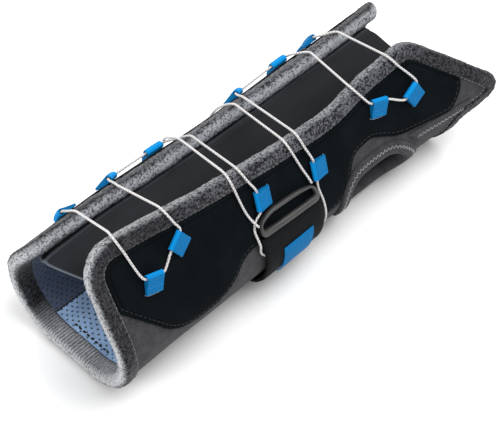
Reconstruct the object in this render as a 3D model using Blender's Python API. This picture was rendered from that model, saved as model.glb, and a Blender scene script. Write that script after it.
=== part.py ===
"""Lace-up wrist brace: a padded sleeve cut flat, bent round the forearm and laced over its open side.

Every cloth piece is cut as a flat blank in pattern coordinates: x runs along the forearm from the
elbow end, a runs round the arm from the middle of the base (positive on the near side, negative on
the far side), and h is the height above the sleeve's outer face. The blanks are creased on the same
lines and bent over the same facets, so pieces laid on each other stay parallel. The origin is under
the middle of the strap, where the brace rests: +X points to the hand, +Z up.
"""
import math

import bmesh
import bpy
import numpy as np
from mathutils import Matrix, Vector

MM = 0.001

# Overall sizes
LENGTH = 255 * MM            # elbow end to the tip of the hand flap, over the bindings
NEAR_GIRTH = 122.5 * MM      # middle of the base to the near rim, round the arm, at the elbow end
FAR_GIRTH = 88 * MM          # middle of the base to the far rim at its highest
FLAT_HALF = 12 * MM          # half width of the flat base
SIDE_RADIUS = 30 * MM        # bend of the sides at the elbow end
CORNER = 14 * MM             # corner radius of the blank

# Plies
CLEAR = 0.3 * MM             # air between pieces that lie on each other
WALL = 4.5 * MM              # padded sleeve
LINING = 1.0 * MM
PANEL = 1.2 * MM
BINDING_PLY = 1.3 * MM       # plush on each face of the edge
BINDING_WIDTH = 6.2 * MM     # how far the binding covers the faces
BINDING_REACH = 1.9 * MM     # how far the binding stands out past the cut edge
MARGIN = BINDING_WIDTH + 0.5 * MM
TAPE = 0.9 * MM
TONGUE = 1.5 * MM
SEAM_PLACE = 22 * MM         # lining seam, from the middle of the base on the far side

# Strap, handle and tab
STRAP_WIDTH = 39 * MM
STRAP_PLY = 1.8 * MM
STRAP_PLACE = 110.7 * MM     # middle of the strap, from the elbow end
STRAP_TOP = 68.2 * MM        # near end of the strap, round the arm
STRAP_FOOT = 43 * MM         # far end of the strap, round the arm
STRAP_SLANT = 1.1 * MM       # half the slope of the strap's near end
HEM_WIDTH = 5.6 * MM
HEM_PLY = 3.2 * MM
HANDLE_PLY = 3.0 * MM
HANDLE_HEIGHT = 12.6 * MM
HANDLE_BAR = 3.5 * MM        # lower bar, which the strap ends at
HANDLE_ARCH = 2.1 * MM       # upper bar
HANDLE_PROUD = 0.5 * MM      # how far the handle is shifted towards the hand past the strap
HANDLE_TAPER = 1.0 * MM      # how far its hand side leans in
TAB_WIDTH = 20 * MM
TAB_HEIGHT = 19 * MM
TAB_PLY = 0.8 * MM
TAB_TOP = 58.5 * MM
TAB_SHIFT = 0.8 * MM         # middle of the tab from the middle of the strap

# Lacing
LACE = 1.2 * MM              # lace diameter
PULL = 1.2 * MM              # pull cord diameter
EASE = 0.60 * MM             # room round a cord in its eye
WEB_WIDTH = 9.5 * MM         # webbing loops
WEB_LENGTH = 10 * MM
WEB_PLY = 0.6 * MM
WEB_SEWN = 2.2               # sewn end of a loop, in plies
MOUTH = 0.7 * MM             # how far a cord runs straight out of a loop

# Where the strap rises over the lace that crosses under it, round the arm
STRAP_RISE = (23 * MM, 34 * MM)

# Tongue
TONGUE_ENDS = (0.055, 0.915)  # shares of the length
TONGUE_FAR = 9.5 * MM        # far edge below the far rim
TONGUE_NEAR = 66 * MM        # near edge from the middle of the base, round the arm
TONGUE_SAG = 5 * MM
TONGUE_CORNER = 8 * MM
TONGUE_ROUND = 1 / 6         # share of the tongue's width that each of its corners takes

# Section along the brace: share of the length, near and far bend as shares of the side radius,
# where the near wall runs straight (degrees of bend) and how far the base is raised over the strap
SECTIONS = (
    # share, near, far, near turn, raised
    (0.00, 0.99, 0.94, 116, 0),
    (0.20, 0.94, 0.95, 116, 1),
    (0.35, 0.92, 0.92, 116, 1),
    (0.60, 0.89, 0.90, 116, 1),
    (0.72, 0.86, 0.90, 116, 0.6),
    (0.88, 0.94, 0.92, 116, 0),
    (1.00, 1.02, 0.93, 116, 0),
)

# Rims: share of the length, share of the girth on that side
NEAR_RIM = (
    (0.000, 1.000),
    (0.120, 0.952),
    (0.210, 0.912),
    (0.355, 0.864),
    (0.470, 0.834),
    (0.610, 0.814),
    (0.745, 0.841),
    (0.828, 0.878),
)
FAR_RIM = (
    (0.000, 0.900),
    (0.120, 0.955),
    (0.235, 0.985),
    (0.470, 0.935),
    (0.700, 0.945),
    (0.950, 0.955),
)

# Stretches of the length that the rims run over between the blank's ends, and the points on each
NEAR_STRETCH = (0.14, 0.76)
FAR_STRETCH = (0.86, 0.12)
RIM_POINTS = 8

# Hand end of the blank: share of the length, share of the near girth (far girth where it is
# negative), corner radius as a share of the corner
HAND_END = (
    (0.828, 0.878, 1.0),
    (1.043, 0.461, 0.75),
    (0.906, 0.412, 0.45),
    (0.890, 0.000, 2.0),
    (0.941, -0.500, 1.8),
    (0.955, -0.955, 0.75),
)
THUMB = (
    (0.592, 0.253, 0.85),
    (0.596, 0.494, 0.70),
    (0.729, 0.474, 1.30),
    (0.784, 0.359, 0.70),
    (0.745, 0.253, 1.00),
)
NEAR_PANEL = (
    (0.000, 1.060, 0.0),
    (0.020, 0.751, 1.8),
    (0.141, 0.441, 2.2),
    (0.259, 0.437, 2.2),
    (0.322, 0.555, 1.1),
    (0.392, 0.539, 1.1),
    (0.478, 0.431, 1.4),
    (0.573, 0.441, 1.0),
    (0.627, 0.596, 0.6),
    (0.682, 0.596, 0.7),
    (0.745, 0.522, 2.0),
    (0.886, 0.500, 0.6),
    (0.930, 0.612, 0.8),
    (0.860, 0.850, 0.0),
    (0.860, 1.060, 0.0),
)
FAR_PANEL = (
    (0.000, -1.10, 0.0),
    (0.015, -0.70, 1.5),
    (0.120, -0.47, 2.0),
    (0.235, -0.47, 1.6),
    (0.330, -0.60, 1.6),
    (0.550, -0.60, 1.6),
    (0.700, -0.47, 1.6),
    (0.840, -0.47, 2.0),
    (0.950, -0.72, 1.0),
    (1.000, -1.10, 0.0),
)
SEAM_TAPE = (
    (0.793, 0.441, 0.0),
    (0.767, 0.500, 0.0),
    (0.940, 0.500, 0.0),
    (0.940, 0.441, 0.0),
)

# Webbing loops: name, share of the length, distance below the rim at the fold's middle in shares of
# the loop's length, and the way from the fold to the sewn end (degrees in the pattern)
NEAR_LOOPS = (
    ("near_loop_1", 0.122, 2.17, -109),
    ("near_loop_2", 0.183, 1.14, -58),
    ("near_loop_5", 0.720, 1.14, -107),
    ("near_loop_6", 0.793, 1.96, -61),
)
FAR_LOOPS = (
    ("far_loop_1", 0.124, 1.45, 0),
    ("far_loop_2", 0.257, 1.05, 135),
    ("far_loop_3", 0.361, 1.00, 90),
    ("far_loop_4", 0.590, 1.05, 135),
    ("far_loop_5", 0.698, 1.00, 90),
    ("far_loop_6", 0.802, 1.45, 180),
)

# Loops beside the strap: as above, but their place is from the strap's middle in strap widths
STRAP_LOOPS = (
    ("near_loop_3", -0.403, 1.67, -9),
    ("near_loop_4", 0.516, 1.88, -9),
)

# How far a cord's smooth route may leave its points' straight lines, and the longest of those
CHORD_STRAY = 0.17 * MM
LONGEST_STEP = 16 * MM

# Crease spacing
CREASE = 7 * MM
STATIONS = 9

# Colours: base colour, roughness, metallic
FINISHES = {
    "plush": ((0.115, 0.117, 0.127, 1), 0.95, 0),
    "sleeve": ((0.105, 0.107, 0.115, 1), 0.92, 0),
    "velour": ((0.008, 0.011, 0.016, 1), 0.85, 0),
    "lining": ((0.20, 0.27, 0.42, 1), 0.8, 0),
    "lining_shade": ((0.055, 0.075, 0.125, 1), 0.8, 0),
    "tongue": ((0.016, 0.017, 0.019, 1), 0.45, 0),
    "webbing": ((0.010, 0.215, 0.58, 1), 0.6, 0),
    "elastic": ((0.010, 0.012, 0.016, 1), 0.8, 0),
    "cord": ((0.58, 0.55, 0.55, 1), 0.45, 0),
    "moulded": ((0.10, 0.098, 0.098, 1), 0.45, 0),
}


def smooth(table, share):
    """Read a table's columns at a share of the length, on a smooth curve through its rows."""
    rows = np.array(table, float)
    share = min(max(share, rows[0, 0]), rows[-1, 0])
    i = int(min(np.searchsorted(rows[:, 0], share, side="right") - 1, len(rows) - 2))
    a, b = rows[i], rows[i + 1]
    t = (share - a[0]) / (b[0] - a[0])
    before = rows[max(i - 1, 0)]
    after = rows[min(i + 2, len(rows) - 1)]
    span = b[0] - a[0]
    ma = (b - before) / (b[0] - before[0]) * span
    mb = (after - a) / (after[0] - a[0]) * span
    t2, t3 = t * t, t * t * t
    return (2 * t3 - 3 * t2 + 1) * a + (t3 - 2 * t2 + t) * ma + (3 * t2 - 2 * t3) * b + (t3 - t2) * mb


def rim(side, x):
    """Distance of the rim from the middle of the base, round the arm."""
    table, girth = (NEAR_RIM, NEAR_GIRTH) if side > 0 else (FAR_RIM, FAR_GIRTH)
    return girth * smooth(table, x / LENGTH)[1]


def section(x, a):
    """Point and outward direction (y, z) of the sleeve's outer face, before it is faceted."""
    share, near, far, turn, raised = smooth(SECTIONS, x / LENGTH)
    base = BINDING_PLY + CLEAR + max(raised, 0) * (STRAP_PLY - BINDING_PLY)
    side = 1 if a >= 0 else -1
    radius = SIDE_RADIUS * (near if side > 0 else far)
    run = abs(a) - FLAT_HALF
    limit = math.radians(turn) if side > 0 else math.pi
    angle = min(max(run / radius, 0), limit)
    straight = max(run - radius * limit, 0)
    across = min(abs(a), FLAT_HALF) + radius * math.sin(angle) + straight * math.cos(angle)
    up = radius * (1 - math.cos(angle)) + straight * math.sin(angle)
    point = np.array((x - STRAP_PLACE, -side * across, base + up))
    return point, np.array((0.0, -side * math.sin(angle), -math.cos(angle)))


def crease_lines():
    """Lines round the arm that every blank is creased on."""
    shares = np.array(SECTIONS).max(axis=0)
    bent_run = math.radians(shares[3]) * SIDE_RADIUS * shares[1]
    near = math.ceil(bent_run / CREASE) + 2
    far = math.ceil((FAR_GIRTH - FLAT_HALF) / CREASE) + 1
    lines = [FLAT_HALF + CREASE * i for i in range(near)]
    return np.array([-(FLAT_HALF + CREASE * i) for i in range(far, -1, -1)] + lines)


CREASES = crease_lines()
CROSS_LINES = np.linspace(0, LENGTH, STATIONS + 1)
GRID = np.array([[np.concatenate(section(x, a)) for a in CREASES] for x in CROSS_LINES])


def bend(x, a, h):
    """Place a pattern point in space, on the facets between the crease lines."""
    i = int(np.clip(np.searchsorted(CROSS_LINES, x) - 1, 0, len(CROSS_LINES) - 2))
    j = int(np.clip(np.searchsorted(CREASES, a) - 1, 0, len(CREASES) - 2))
    u = (x - CROSS_LINES[i]) / (CROSS_LINES[i + 1] - CROSS_LINES[i])
    v = (a - CREASES[j]) / (CREASES[j + 1] - CREASES[j])
    low = GRID[i, j] * (1 - v) + GRID[i, j + 1] * v
    high = GRID[i + 1, j] * (1 - v) + GRID[i + 1, j + 1] * v
    both = low * (1 - u) + high * u
    return Vector(both[:3] + both[3:] * h)


def on_wall(side, x, below, h):
    """Place a point by its distance below the rim of one side."""
    return bend(x, side * (rim(side, x) - below), h)


def rounded(corners):
    """Turn corners (x, a, radius) into a ring of points with arcs at the corners."""
    ring = []
    for i, (x, a, radius) in enumerate(corners):
        here = Vector((x, a))
        before = Vector(corners[i - 1][:2]) - here
        after = Vector(corners[(i + 1) % len(corners)][:2]) - here
        if radius <= 0:
            ring.append((x, a))
            continue
        half = before.angle(after) / 2
        reach = min(radius / math.tan(half), 0.48 * before.length, 0.48 * after.length)
        radius = reach * math.tan(half)
        centre = here + (before.normalized() + after.normalized()).normalized() * radius / math.sin(half)
        start = here + before.normalized() * reach - centre
        turn = start.angle_signed(here + after.normalized() * reach - centre)
        steps = max(2, round(abs(turn) / math.radians(25)))
        for k in range(steps + 1):
            arm = start.copy()
            arm.rotate(Matrix.Rotation(-turn * k / steps, 2))
            ring.append(tuple(centre + arm))
    return ring


def scaled(table):
    """Turn a table of shares into corners in metres."""
    def row(share, girth, radius):
        return share * LENGTH, girth * (NEAR_GIRTH if girth >= 0 else FAR_GIRTH), radius * CORNER
    return [row(*entry) for entry in table]


def blank_outline():
    """The sleeve's cut edge, anticlockwise in the pattern as seen from outside."""
    start = BINDING_REACH
    near = [(x, rim(1, x), 0) for x in np.linspace(*NEAR_STRETCH, RIM_POINTS) * LENGTH]
    far = [(x, -rim(-1, x), 0) for x in np.linspace(*FAR_STRETCH, RIM_POINTS) * LENGTH]
    elbow_near = (start, rim(1, start), CORNER)
    elbow_far = (start, -rim(-1, start), 0.8 * CORNER)
    return rounded([elbow_near, *near, *scaled(HAND_END), *far, elbow_far])[::-1]


def inset(ring, distance):
    """Move a ring of points towards its inside by a distance, outwards where it is negative."""
    points = [Vector(p) for p in ring]
    area = sum(p.x * q.y - q.x * p.y for p, q in zip(points, points[1:] + points[:1]))
    sign = 1 if area > 0 else -1
    moved = []
    for i, here in enumerate(points):
        before = (here - points[i - 1]).normalized()
        after = (points[(i + 1) % len(points)] - here).normalized()
        middle = before + after
        normal = Vector((-middle.y, middle.x)).normalized() * sign
        stretch = max(normal.dot(Vector((-after.y, after.x)) * sign), 0.5)
        moved.append(tuple(here + normal * distance / stretch))
    return moved


def flat_solid(name, ring, low, high):
    """A flat blank: one face in the pattern, extruded from one height to another."""
    bm = bmesh.new()
    face = bm.faces.new([bm.verts.new((x, a, low)) for x, a in ring])
    grown = bmesh.ops.extrude_face_region(bm, geom=[face])
    top = [part for part in grown["geom"] if isinstance(part, bmesh.types.BMVert)]
    bmesh.ops.translate(bm, verts=top, vec=(0, 0, high - low))
    bmesh.ops.recalc_face_normals(bm, faces=bm.faces)
    return add_object(name, bm)


def add_object(name, bm):
    mesh = bpy.data.meshes.new(name)
    bm.to_mesh(mesh)
    bm.free()
    result = bpy.data.objects.new(name, mesh)
    bpy.context.collection.objects.link(result)
    return result


def carve(piece, cutters):
    """Apply Booleans in the flat: cutters are (operation, object) and are used up."""
    for operation, cutter in cutters:
        modifier = piece.modifiers.new(operation.title(), "BOOLEAN")
        modifier.operation = operation
        modifier.solver = "EXACT"
        modifier.object = cutter
    view = bpy.context.evaluated_depsgraph_get()
    mesh = bpy.data.meshes.new_from_object(piece.evaluated_get(view))
    piece.modifiers.clear()
    piece.data = mesh
    for _, cutter in cutters:
        bpy.data.objects.remove(cutter)
    return piece


def wrapped(piece, lift=None):
    """Crease a flat piece on the shared lines and bend it round the arm."""
    bm = bmesh.new()
    bm.from_mesh(piece.data)
    lines = [((0, a, 0), (0, 1, 0)) for a in CREASES]
    lines += [((x, 0, 0), (1, 0, 0)) for x in CROSS_LINES[1:-1]]
    for place, across in lines:
        parts = bm.verts[:] + bm.edges[:] + bm.faces[:]
        bmesh.ops.bisect_plane(bm, geom=parts, dist=0.00001, plane_co=place, plane_no=across)
    bmesh.ops.remove_doubles(bm, verts=bm.verts, dist=0.00005)
    bmesh.ops.dissolve_degenerate(bm, edges=bm.edges, dist=0.00001)
    bmesh.ops.triangulate(bm, faces=bm.faces)
    for vert in bm.verts:
        x, a, h = vert.co
        vert.co = bend(x, a, h + (lift(a) if lift else 0))
    bmesh.ops.recalc_face_normals(bm, faces=bm.faces)
    bm.to_mesh(piece.data)
    bm.free()
    return piece


def finish(piece, finish_name, angle=35):
    """Give a piece its material and shading."""
    material = bpy.data.materials.get(finish_name)
    if material is None:
        colour, roughness, metallic = FINISHES[finish_name]
        material = bpy.data.materials.new(finish_name)
        material.use_nodes = True
        shader = material.node_tree.nodes["Principled BSDF"]
        shader.inputs["Base Color"].default_value = colour
        shader.inputs["Roughness"].default_value = roughness
        shader.inputs["Metallic"].default_value = metallic
        material.diffuse_color = colour
    piece.data.materials.clear()
    piece.data.materials.append(material)
    if piece.type == "MESH":
        piece.data.shade_smooth()
        piece.data.set_sharp_from_angle(angle=math.radians(angle))
    return piece


def binding_profile():
    """Closed section of an edge binding: distance in from the cut edge, height."""
    top = CLEAR + BINDING_PLY
    foot = -WALL - CLEAR - BINDING_PLY
    soft = 0.35 * BINDING_PLY
    return (
        (BINDING_WIDTH, CLEAR),
        (BINDING_WIDTH - soft, top - 0.5 * soft),
        (2 * soft, top),
        (-0.7 * BINDING_REACH, top - 3 * soft),
        (-BINDING_REACH, -WALL / 2),
        (-0.7 * BINDING_REACH, foot + 3 * soft),
        (2 * soft, foot),
        (BINDING_WIDTH, foot + 0.5 * soft),
        (BINDING_WIDTH, -WALL - CLEAR),
        (-CLEAR, -WALL - CLEAR),
        (-CLEAR, CLEAR),
    )


def binding(name, ring, side):
    """Sweep the binding's section round a cut edge: a grid rolled up and welded to itself."""
    profile = binding_profile()
    rows = {round(s, 9): inset(ring, side * s) for s, _ in profile}
    bm = bmesh.new()
    across, along = len(profile), len(ring)
    bmesh.ops.create_grid(bm, x_segments=across, y_segments=along, size=1)
    for vert in bm.verts:
        i = round((vert.co.x + 1) / 2 * across) % across
        j = round((vert.co.y + 1) / 2 * along) % along
        s, h = profile[i]
        x, a = rows[round(s, 9)][j]
        vert.co = (x, a, h)
    bmesh.ops.remove_doubles(bm, verts=bm.verts, dist=0.00001)
    bmesh.ops.recalc_face_normals(bm, faces=bm.faces)
    return finish(wrapped(add_object(name, bm)), "plush", 60)


def sleeve_pieces():
    """The padded sleeve, its lining, outer panels and bindings."""
    edge = blank_outline()
    thumb = rounded(scaled(THUMB))
    deep = 3 * WALL
    field = inset(edge, MARGIN)
    thumb_field = inset(thumb, -MARGIN)

    sleeve = flat_solid("sleeve", edge, -WALL, 0)
    carve(sleeve, [("DIFFERENCE", flat_solid("thumb_cut", thumb, -deep, deep))])
    finish(wrapped(sleeve), "sleeve")

    lining_top = -WALL - CLEAR
    lining_foot = lining_top - LINING
    parting = 0.7 * CLEAR
    for name, low, high, look in (
        ("lining_side", -2 * FAR_GIRTH, -SEAM_PLACE - parting, "lining_shade"),
        ("lining_base", -SEAM_PLACE + parting, 2 * NEAR_GIRTH, "lining"),
    ):
        band = ((-LENGTH, low), (2 * LENGTH, low), (2 * LENGTH, high), (-LENGTH, high))
        piece = flat_solid(name, field, lining_foot, lining_top)
        cuts = [("INTERSECT", flat_solid("band", band, -deep, deep))]
        if name == "lining_base":
            cuts.append(("DIFFERENCE", flat_solid("thumb_cut", thumb_field, -deep, deep)))
        finish(wrapped(carve(piece, cuts)), look)

    for name, table in (("near_panel", NEAR_PANEL), ("far_panel", FAR_PANEL)):
        piece = flat_solid(name, rounded(scaled(table)), CLEAR, CLEAR + PANEL)
        cuts = [
            ("INTERSECT", flat_solid("field", field, -deep, deep)),
            ("DIFFERENCE", flat_solid("thumb_cut", thumb_field, -deep, deep)),
        ]
        finish(wrapped(carve(piece, cuts)), "velour")

    tape = flat_solid("seam_tape", rounded(scaled(SEAM_TAPE)), CLEAR, CLEAR + TAPE)
    carve(tape, [("INTERSECT", flat_solid("field", field, -deep, deep))])
    finish(wrapped(tape), "plush")

    binding("edge_binding", edge, 1)
    binding("thumb_binding", thumb, -1)


def strap_lift(a):
    """Height of the strap's underside: it rises over the lace and the near panel."""
    start, end = STRAP_RISE
    share = min(max((a - start) / (end - start), 0), 1)
    return share * (CLEAR + LACE + CLEAR)


def strap_pieces():
    """The strap under the brace, with the cord's hem at its far end, and the tab."""
    left = STRAP_PLACE - STRAP_WIDTH / 2
    right = STRAP_PLACE + STRAP_WIDTH / 2
    deep = 3 * WALL
    foot = -STRAP_FOOT
    ring = ((left, foot), (right, foot), (right, STRAP_TOP - STRAP_SLANT), (left, STRAP_TOP + STRAP_SLANT))
    strap = flat_solid("wrist_strap", ring, CLEAR, CLEAR + STRAP_PLY)
    hem = ((left, foot), (right, foot), (right, foot + HEM_WIDTH), (left, foot + HEM_WIDTH))
    place = (STRAP_PLACE, foot + HEM_WIDTH / 2, CLEAR + HEM_PLY / 2)
    bore = cord_bore("hem_bore", place, PULL / 2 + EASE, 2 * STRAP_WIDTH)
    carve(strap, [("UNION", flat_solid("hem", hem, CLEAR, CLEAR + HEM_PLY))])
    carve(strap, [("DIFFERENCE", bore)])
    finish(wrapped(strap, strap_lift), "elastic")

    middle = STRAP_PLACE + TAB_SHIFT
    tab_ring = (
        (middle - TAB_WIDTH / 2, TAB_TOP - TAB_HEIGHT),
        (middle + TAB_WIDTH / 2, TAB_TOP - TAB_HEIGHT),
        (middle + TAB_WIDTH / 2, TAB_TOP),
        (middle - TAB_WIDTH / 2, TAB_TOP),
    )
    top = STRAP_PLY + 2 * CLEAR
    tab = flat_solid("strap_tab", tab_ring, top, top + TAB_PLY)
    finish(wrapped(tab, strap_lift), "webbing")


def pull_handle():
    """The moulded handle at the strap's near end: a flat ring with a straight bar and an arch."""
    left = STRAP_PLACE - STRAP_WIDTH / 2
    right = STRAP_PLACE + STRAP_WIDTH / 2
    deep = 3 * WALL
    low = STRAP_TOP + CLEAR
    high = low + HANDLE_HEIGHT
    outer = (
        (left + HANDLE_PROUD, low + STRAP_SLANT, 0.15),
        (right + HANDLE_PROUD, low - STRAP_SLANT, 0.15),
        (right - HANDLE_TAPER, low + 0.66 * HANDLE_HEIGHT, 0.3),
        (STRAP_PLACE + 0.2 * STRAP_WIDTH, high - 0.1 * HANDLE_HEIGHT, 2.0),
        (left + 0.22 * STRAP_WIDTH, high, 1.2),
        (left + 0.8 * HANDLE_TAPER, high - 0.28 * HANDLE_HEIGHT, 0.3),
    )
    outer = rounded([(x, a, share * CORNER) for x, a, share in outer])
    side = HANDLE_ARCH
    slot = (
        (left + side, low + HANDLE_BAR + STRAP_SLANT, 0.1),
        (right - side + HANDLE_PROUD, low + HANDLE_BAR - STRAP_SLANT, 0.1),
        (right - side - 0.8 * HANDLE_TAPER, low + 0.62 * HANDLE_HEIGHT, 0.2),
        (STRAP_PLACE + 0.18 * STRAP_WIDTH, high - 0.1 * HANDLE_HEIGHT - HANDLE_ARCH, 1.2),
        (left + 0.24 * STRAP_WIDTH, high - HANDLE_ARCH, 0.9),
        (left + side + 0.4 * HANDLE_TAPER, high - 0.25 * HANDLE_HEIGHT - 0.4 * HANDLE_ARCH, 0.2),
    )
    slot = rounded([(x, a, share * CORNER) for x, a, share in slot])
    seat = CLEAR + PANEL + CLEAR
    handle = flat_solid("pull_handle", outer, seat, seat + HANDLE_PLY)
    carve(handle, [("DIFFERENCE", flat_solid("slot", slot, -deep, deep))])
    finish(wrapped(handle), "moulded")


def cord_bore(name, centre, radius, length):
    """A round cutter along x, in the flat."""
    bm = bmesh.new()
    turn = Matrix.Translation(centre) @ Matrix.Rotation(math.pi / 2, 4, "Y")
    bmesh.ops.create_cone(
        bm, segments=8, radius1=radius, radius2=radius, depth=length, cap_ends=True, matrix=turn
    )
    return add_object(name, bm)


def loop_blank(name, x, a, way):
    """A folded webbing strip in the flat: its profile drawn from its side and extruded."""
    eye = LACE / 2 + EASE
    outer = eye + WEB_PLY
    seat = CLEAR + PANEL + CLEAR
    doubled = seat + WEB_SEWN * WEB_PLY
    turns = np.radians((15, 50, 90, 130))
    arc = [(outer - outer * math.sin(t), seat + outer + outer * math.cos(t)) for t in turns]
    shoulder = [(3.1 * outer, doubled), (1.7 * outer, seat + 1.75 * outer)]
    ring = [(WEB_LENGTH, seat), (WEB_LENGTH, doubled), *shoulder]
    ring += arc
    ring.append((0.6 * outer, seat))
    bm = bmesh.new()
    half = WEB_WIDTH / 2
    face = bm.faces.new([bm.verts.new((u, -half, h)) for u, h in ring])
    grown = bmesh.ops.extrude_face_region(bm, geom=[face])
    far = [part for part in grown["geom"] if isinstance(part, bmesh.types.BMVert)]
    bmesh.ops.translate(bm, verts=far, vec=(0, WEB_WIDTH, 0))
    bmesh.ops.recalc_face_normals(bm, faces=bm.faces)
    turn = Matrix.Translation((x, a, 0)) @ Matrix.Rotation(math.radians(way), 4, "Z")
    bmesh.ops.transform(bm, matrix=turn, verts=bm.verts)
    loop = add_object(name, bm)
    bm = bmesh.new()
    lay = turn @ Matrix.Translation((outer, 0, seat + outer)) @ Matrix.Rotation(math.pi / 2, 4, "X")
    bmesh.ops.create_cone(
        bm, segments=8, radius1=eye, radius2=eye, depth=2 * WEB_WIDTH, cap_ends=True, matrix=lay
    )
    return carve(loop, [("DIFFERENCE", add_object("eye", bm))])


def loop_places():
    """Each loop's name, its fold's middle in the pattern and its way."""
    found = []
    for side, start, unit, table in (
        (1, 0, LENGTH, NEAR_LOOPS),
        (1, STRAP_PLACE, STRAP_WIDTH, STRAP_LOOPS),
        (-1, 0, LENGTH, FAR_LOOPS),
    ):
        for name, share, below, way in table:
            x = start + share * unit
            found.append((name, x, side * (rim(side, x) - below * WEB_LENGTH), way))
    return found


def loops():
    """Six webbing loops on each side; gives the pattern points of each loop's eye, mouth to mouth."""
    outer = LACE / 2 + EASE + WEB_PLY
    height = CLEAR + PANEL + CLEAR + outer
    eyes = {}
    for name, x, a, way in loop_places():
        finish(wrapped(loop_blank(name, x, a, way)), "webbing", 40)
        cos, sin = math.cos(math.radians(way)), math.sin(math.radians(way))
        centre = Vector((x + outer * cos, a + outer * sin, height))
        reach = Vector((-sin, cos, 0)) * (WEB_WIDTH / 2 + MOUTH)
        eyes[name] = [centre + reach * k for k in (-1, -0.5, 0, 0.5, 1)]
    return eyes


def over_rim(side, x, rise, cord, toward):
    """Pattern points of a cord that comes up a wall and goes over its bound rim into the gap.

    It runs straight from the point toward on the wall, and crosses the rim's edge at x.
    """
    lean = (toward.x - x) / max(rim(side, toward.x) - abs(toward.y), BINDING_WIDTH)
    thick = cord / 2 + CLEAR
    top = CLEAR + BINDING_PLY + thick + 0.1 * MM
    points = [(BINDING_WIDTH - 1.5 * MM, top + rise)]
    if side > 0:
        out = BINDING_REACH + thick + 0.15 * MM
        points += [(0.8 * MM, top), (-0.7 * out, 0.45 * top), (-out, -0.35 * WALL), (-out, -0.95 * WALL)]
    else:
        points += [(1.5 * MM, top + rise), (-BINDING_REACH, top - 0.2 * MM + 0.8 * rise)]
    places = [(x + lean * below, below, h) for below, h in points]
    return [Vector((at, side * (rim(side, at) - below), h)) for at, below, h in places]


def crest(side, x):
    """The pattern point on the edge of a rim."""
    return Vector((x, side * rim(side, x), 0))


def reached(stop, eyes, start):
    """The pattern point of a stop that a cord from start comes to first."""
    if isinstance(stop, str):
        return min(eyes[stop][0], eyes[stop][-1], key=lambda mouth: (mouth - start).length)
    return Vector(stop)


def runs(stops, eyes, cord):
    """Split a cord's stops into runs of pattern points, each on one wall, joined across the gap.

    A stop is a loop's name, a crossing of a rim (side, x, rise) or a pattern point.
    """
    found = [[]]
    for i, stop in enumerate(stops):
        run = found[-1]
        if isinstance(stop, str):
            way = eyes[stop]
            half = len(way) // 2
            start = run[-1] if run else crest(*stops[1][:2])
            if reached(stop, eyes, start) != way[0]:
                way = way[::-1]
            if i == 0:
                run += way[half::-1]
            else:
                run += way if i < len(stops) - 1 else way[:half + 1]
        elif isinstance(stop[0], int):
            toward = run[-1] if run else reached(stops[i + 1], eyes, crest(*stop[:2]))
            points = over_rim(*stop, cord, toward)
            if run:
                run += points
                found.append([])
            else:
                run += points[::-1]
        else:
            run.append(Vector(stop))
    return found


def curve_through(points, pieces=8):
    """Points on a smooth curve (centripetal) through a route's points."""
    ends = [2 * points[0] - points[1], *points, 2 * points[-1] - points[-2]]
    fine = []
    for p0, p1, p2, p3 in zip(ends, ends[1:], ends[2:], ends[3:]):
        t1 = max((p1 - p0).length, 0.0001) ** 0.5
        t2 = t1 + max((p2 - p1).length, 0.0001) ** 0.5
        t3 = t2 + max((p3 - p2).length, 0.0001) ** 0.5
        for k in range(pieces):
            t = t1 + (t2 - t1) * k / pieces
            a1 = p0 * ((t1 - t) / t1) + p1 * (t / t1)
            a2 = p1 * ((t2 - t) / (t2 - t1)) + p2 * ((t - t1) / (t2 - t1))
            a3 = p2 * ((t3 - t) / (t3 - t2)) + p3 * ((t - t2) / (t3 - t2))
            b1 = a1 * ((t2 - t) / t2) + a2 * (t / t2)
            b2 = a2 * ((t3 - t) / (t3 - t1)) + a3 * ((t - t1) / (t3 - t1))
            fine.append(b1 * ((t2 - t) / (t2 - t1)) + b2 * ((t - t1) / (t2 - t1)))
    fine.append(points[-1])
    return fine


def cord_route(stops, eyes, cord):
    """A cord's route in space: smooth on each wall, straight across the gap, thinned where straight."""
    fine = []
    for run in runs(stops, eyes, cord):
        fine += [bend(*point) for point in curve_through(run)]
    kept, anchor = [fine[0]], 0
    for i in range(2, len(fine)):
        chord = fine[i] - fine[anchor]
        stray = max(chord.cross(point - fine[anchor]).length for point in fine[anchor + 1:i]) / chord.length
        if stray > CHORD_STRAY or chord.length > LONGEST_STEP:
            anchor = i - 1
            kept.append(fine[anchor])
    kept.append(fine[-1])
    return kept


def cord_tube(name, route, diameter):
    """A round cord along a route, with closed ends."""
    curve = bpy.data.curves.new(name, "CURVE")
    curve.dimensions = "3D"
    curve.bevel_depth = diameter / 2
    curve.bevel_resolution = 2
    curve.use_fill_caps = True
    spline = curve.splines.new("POLY")
    spline.points.add(len(route) - 1)
    for point, place in zip(spline.points, route):
        point.co = (*place, 1)
    cord = bpy.data.objects.new(name, curve)
    bpy.context.collection.objects.link(cord)
    return finish(cord, "cord")


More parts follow.
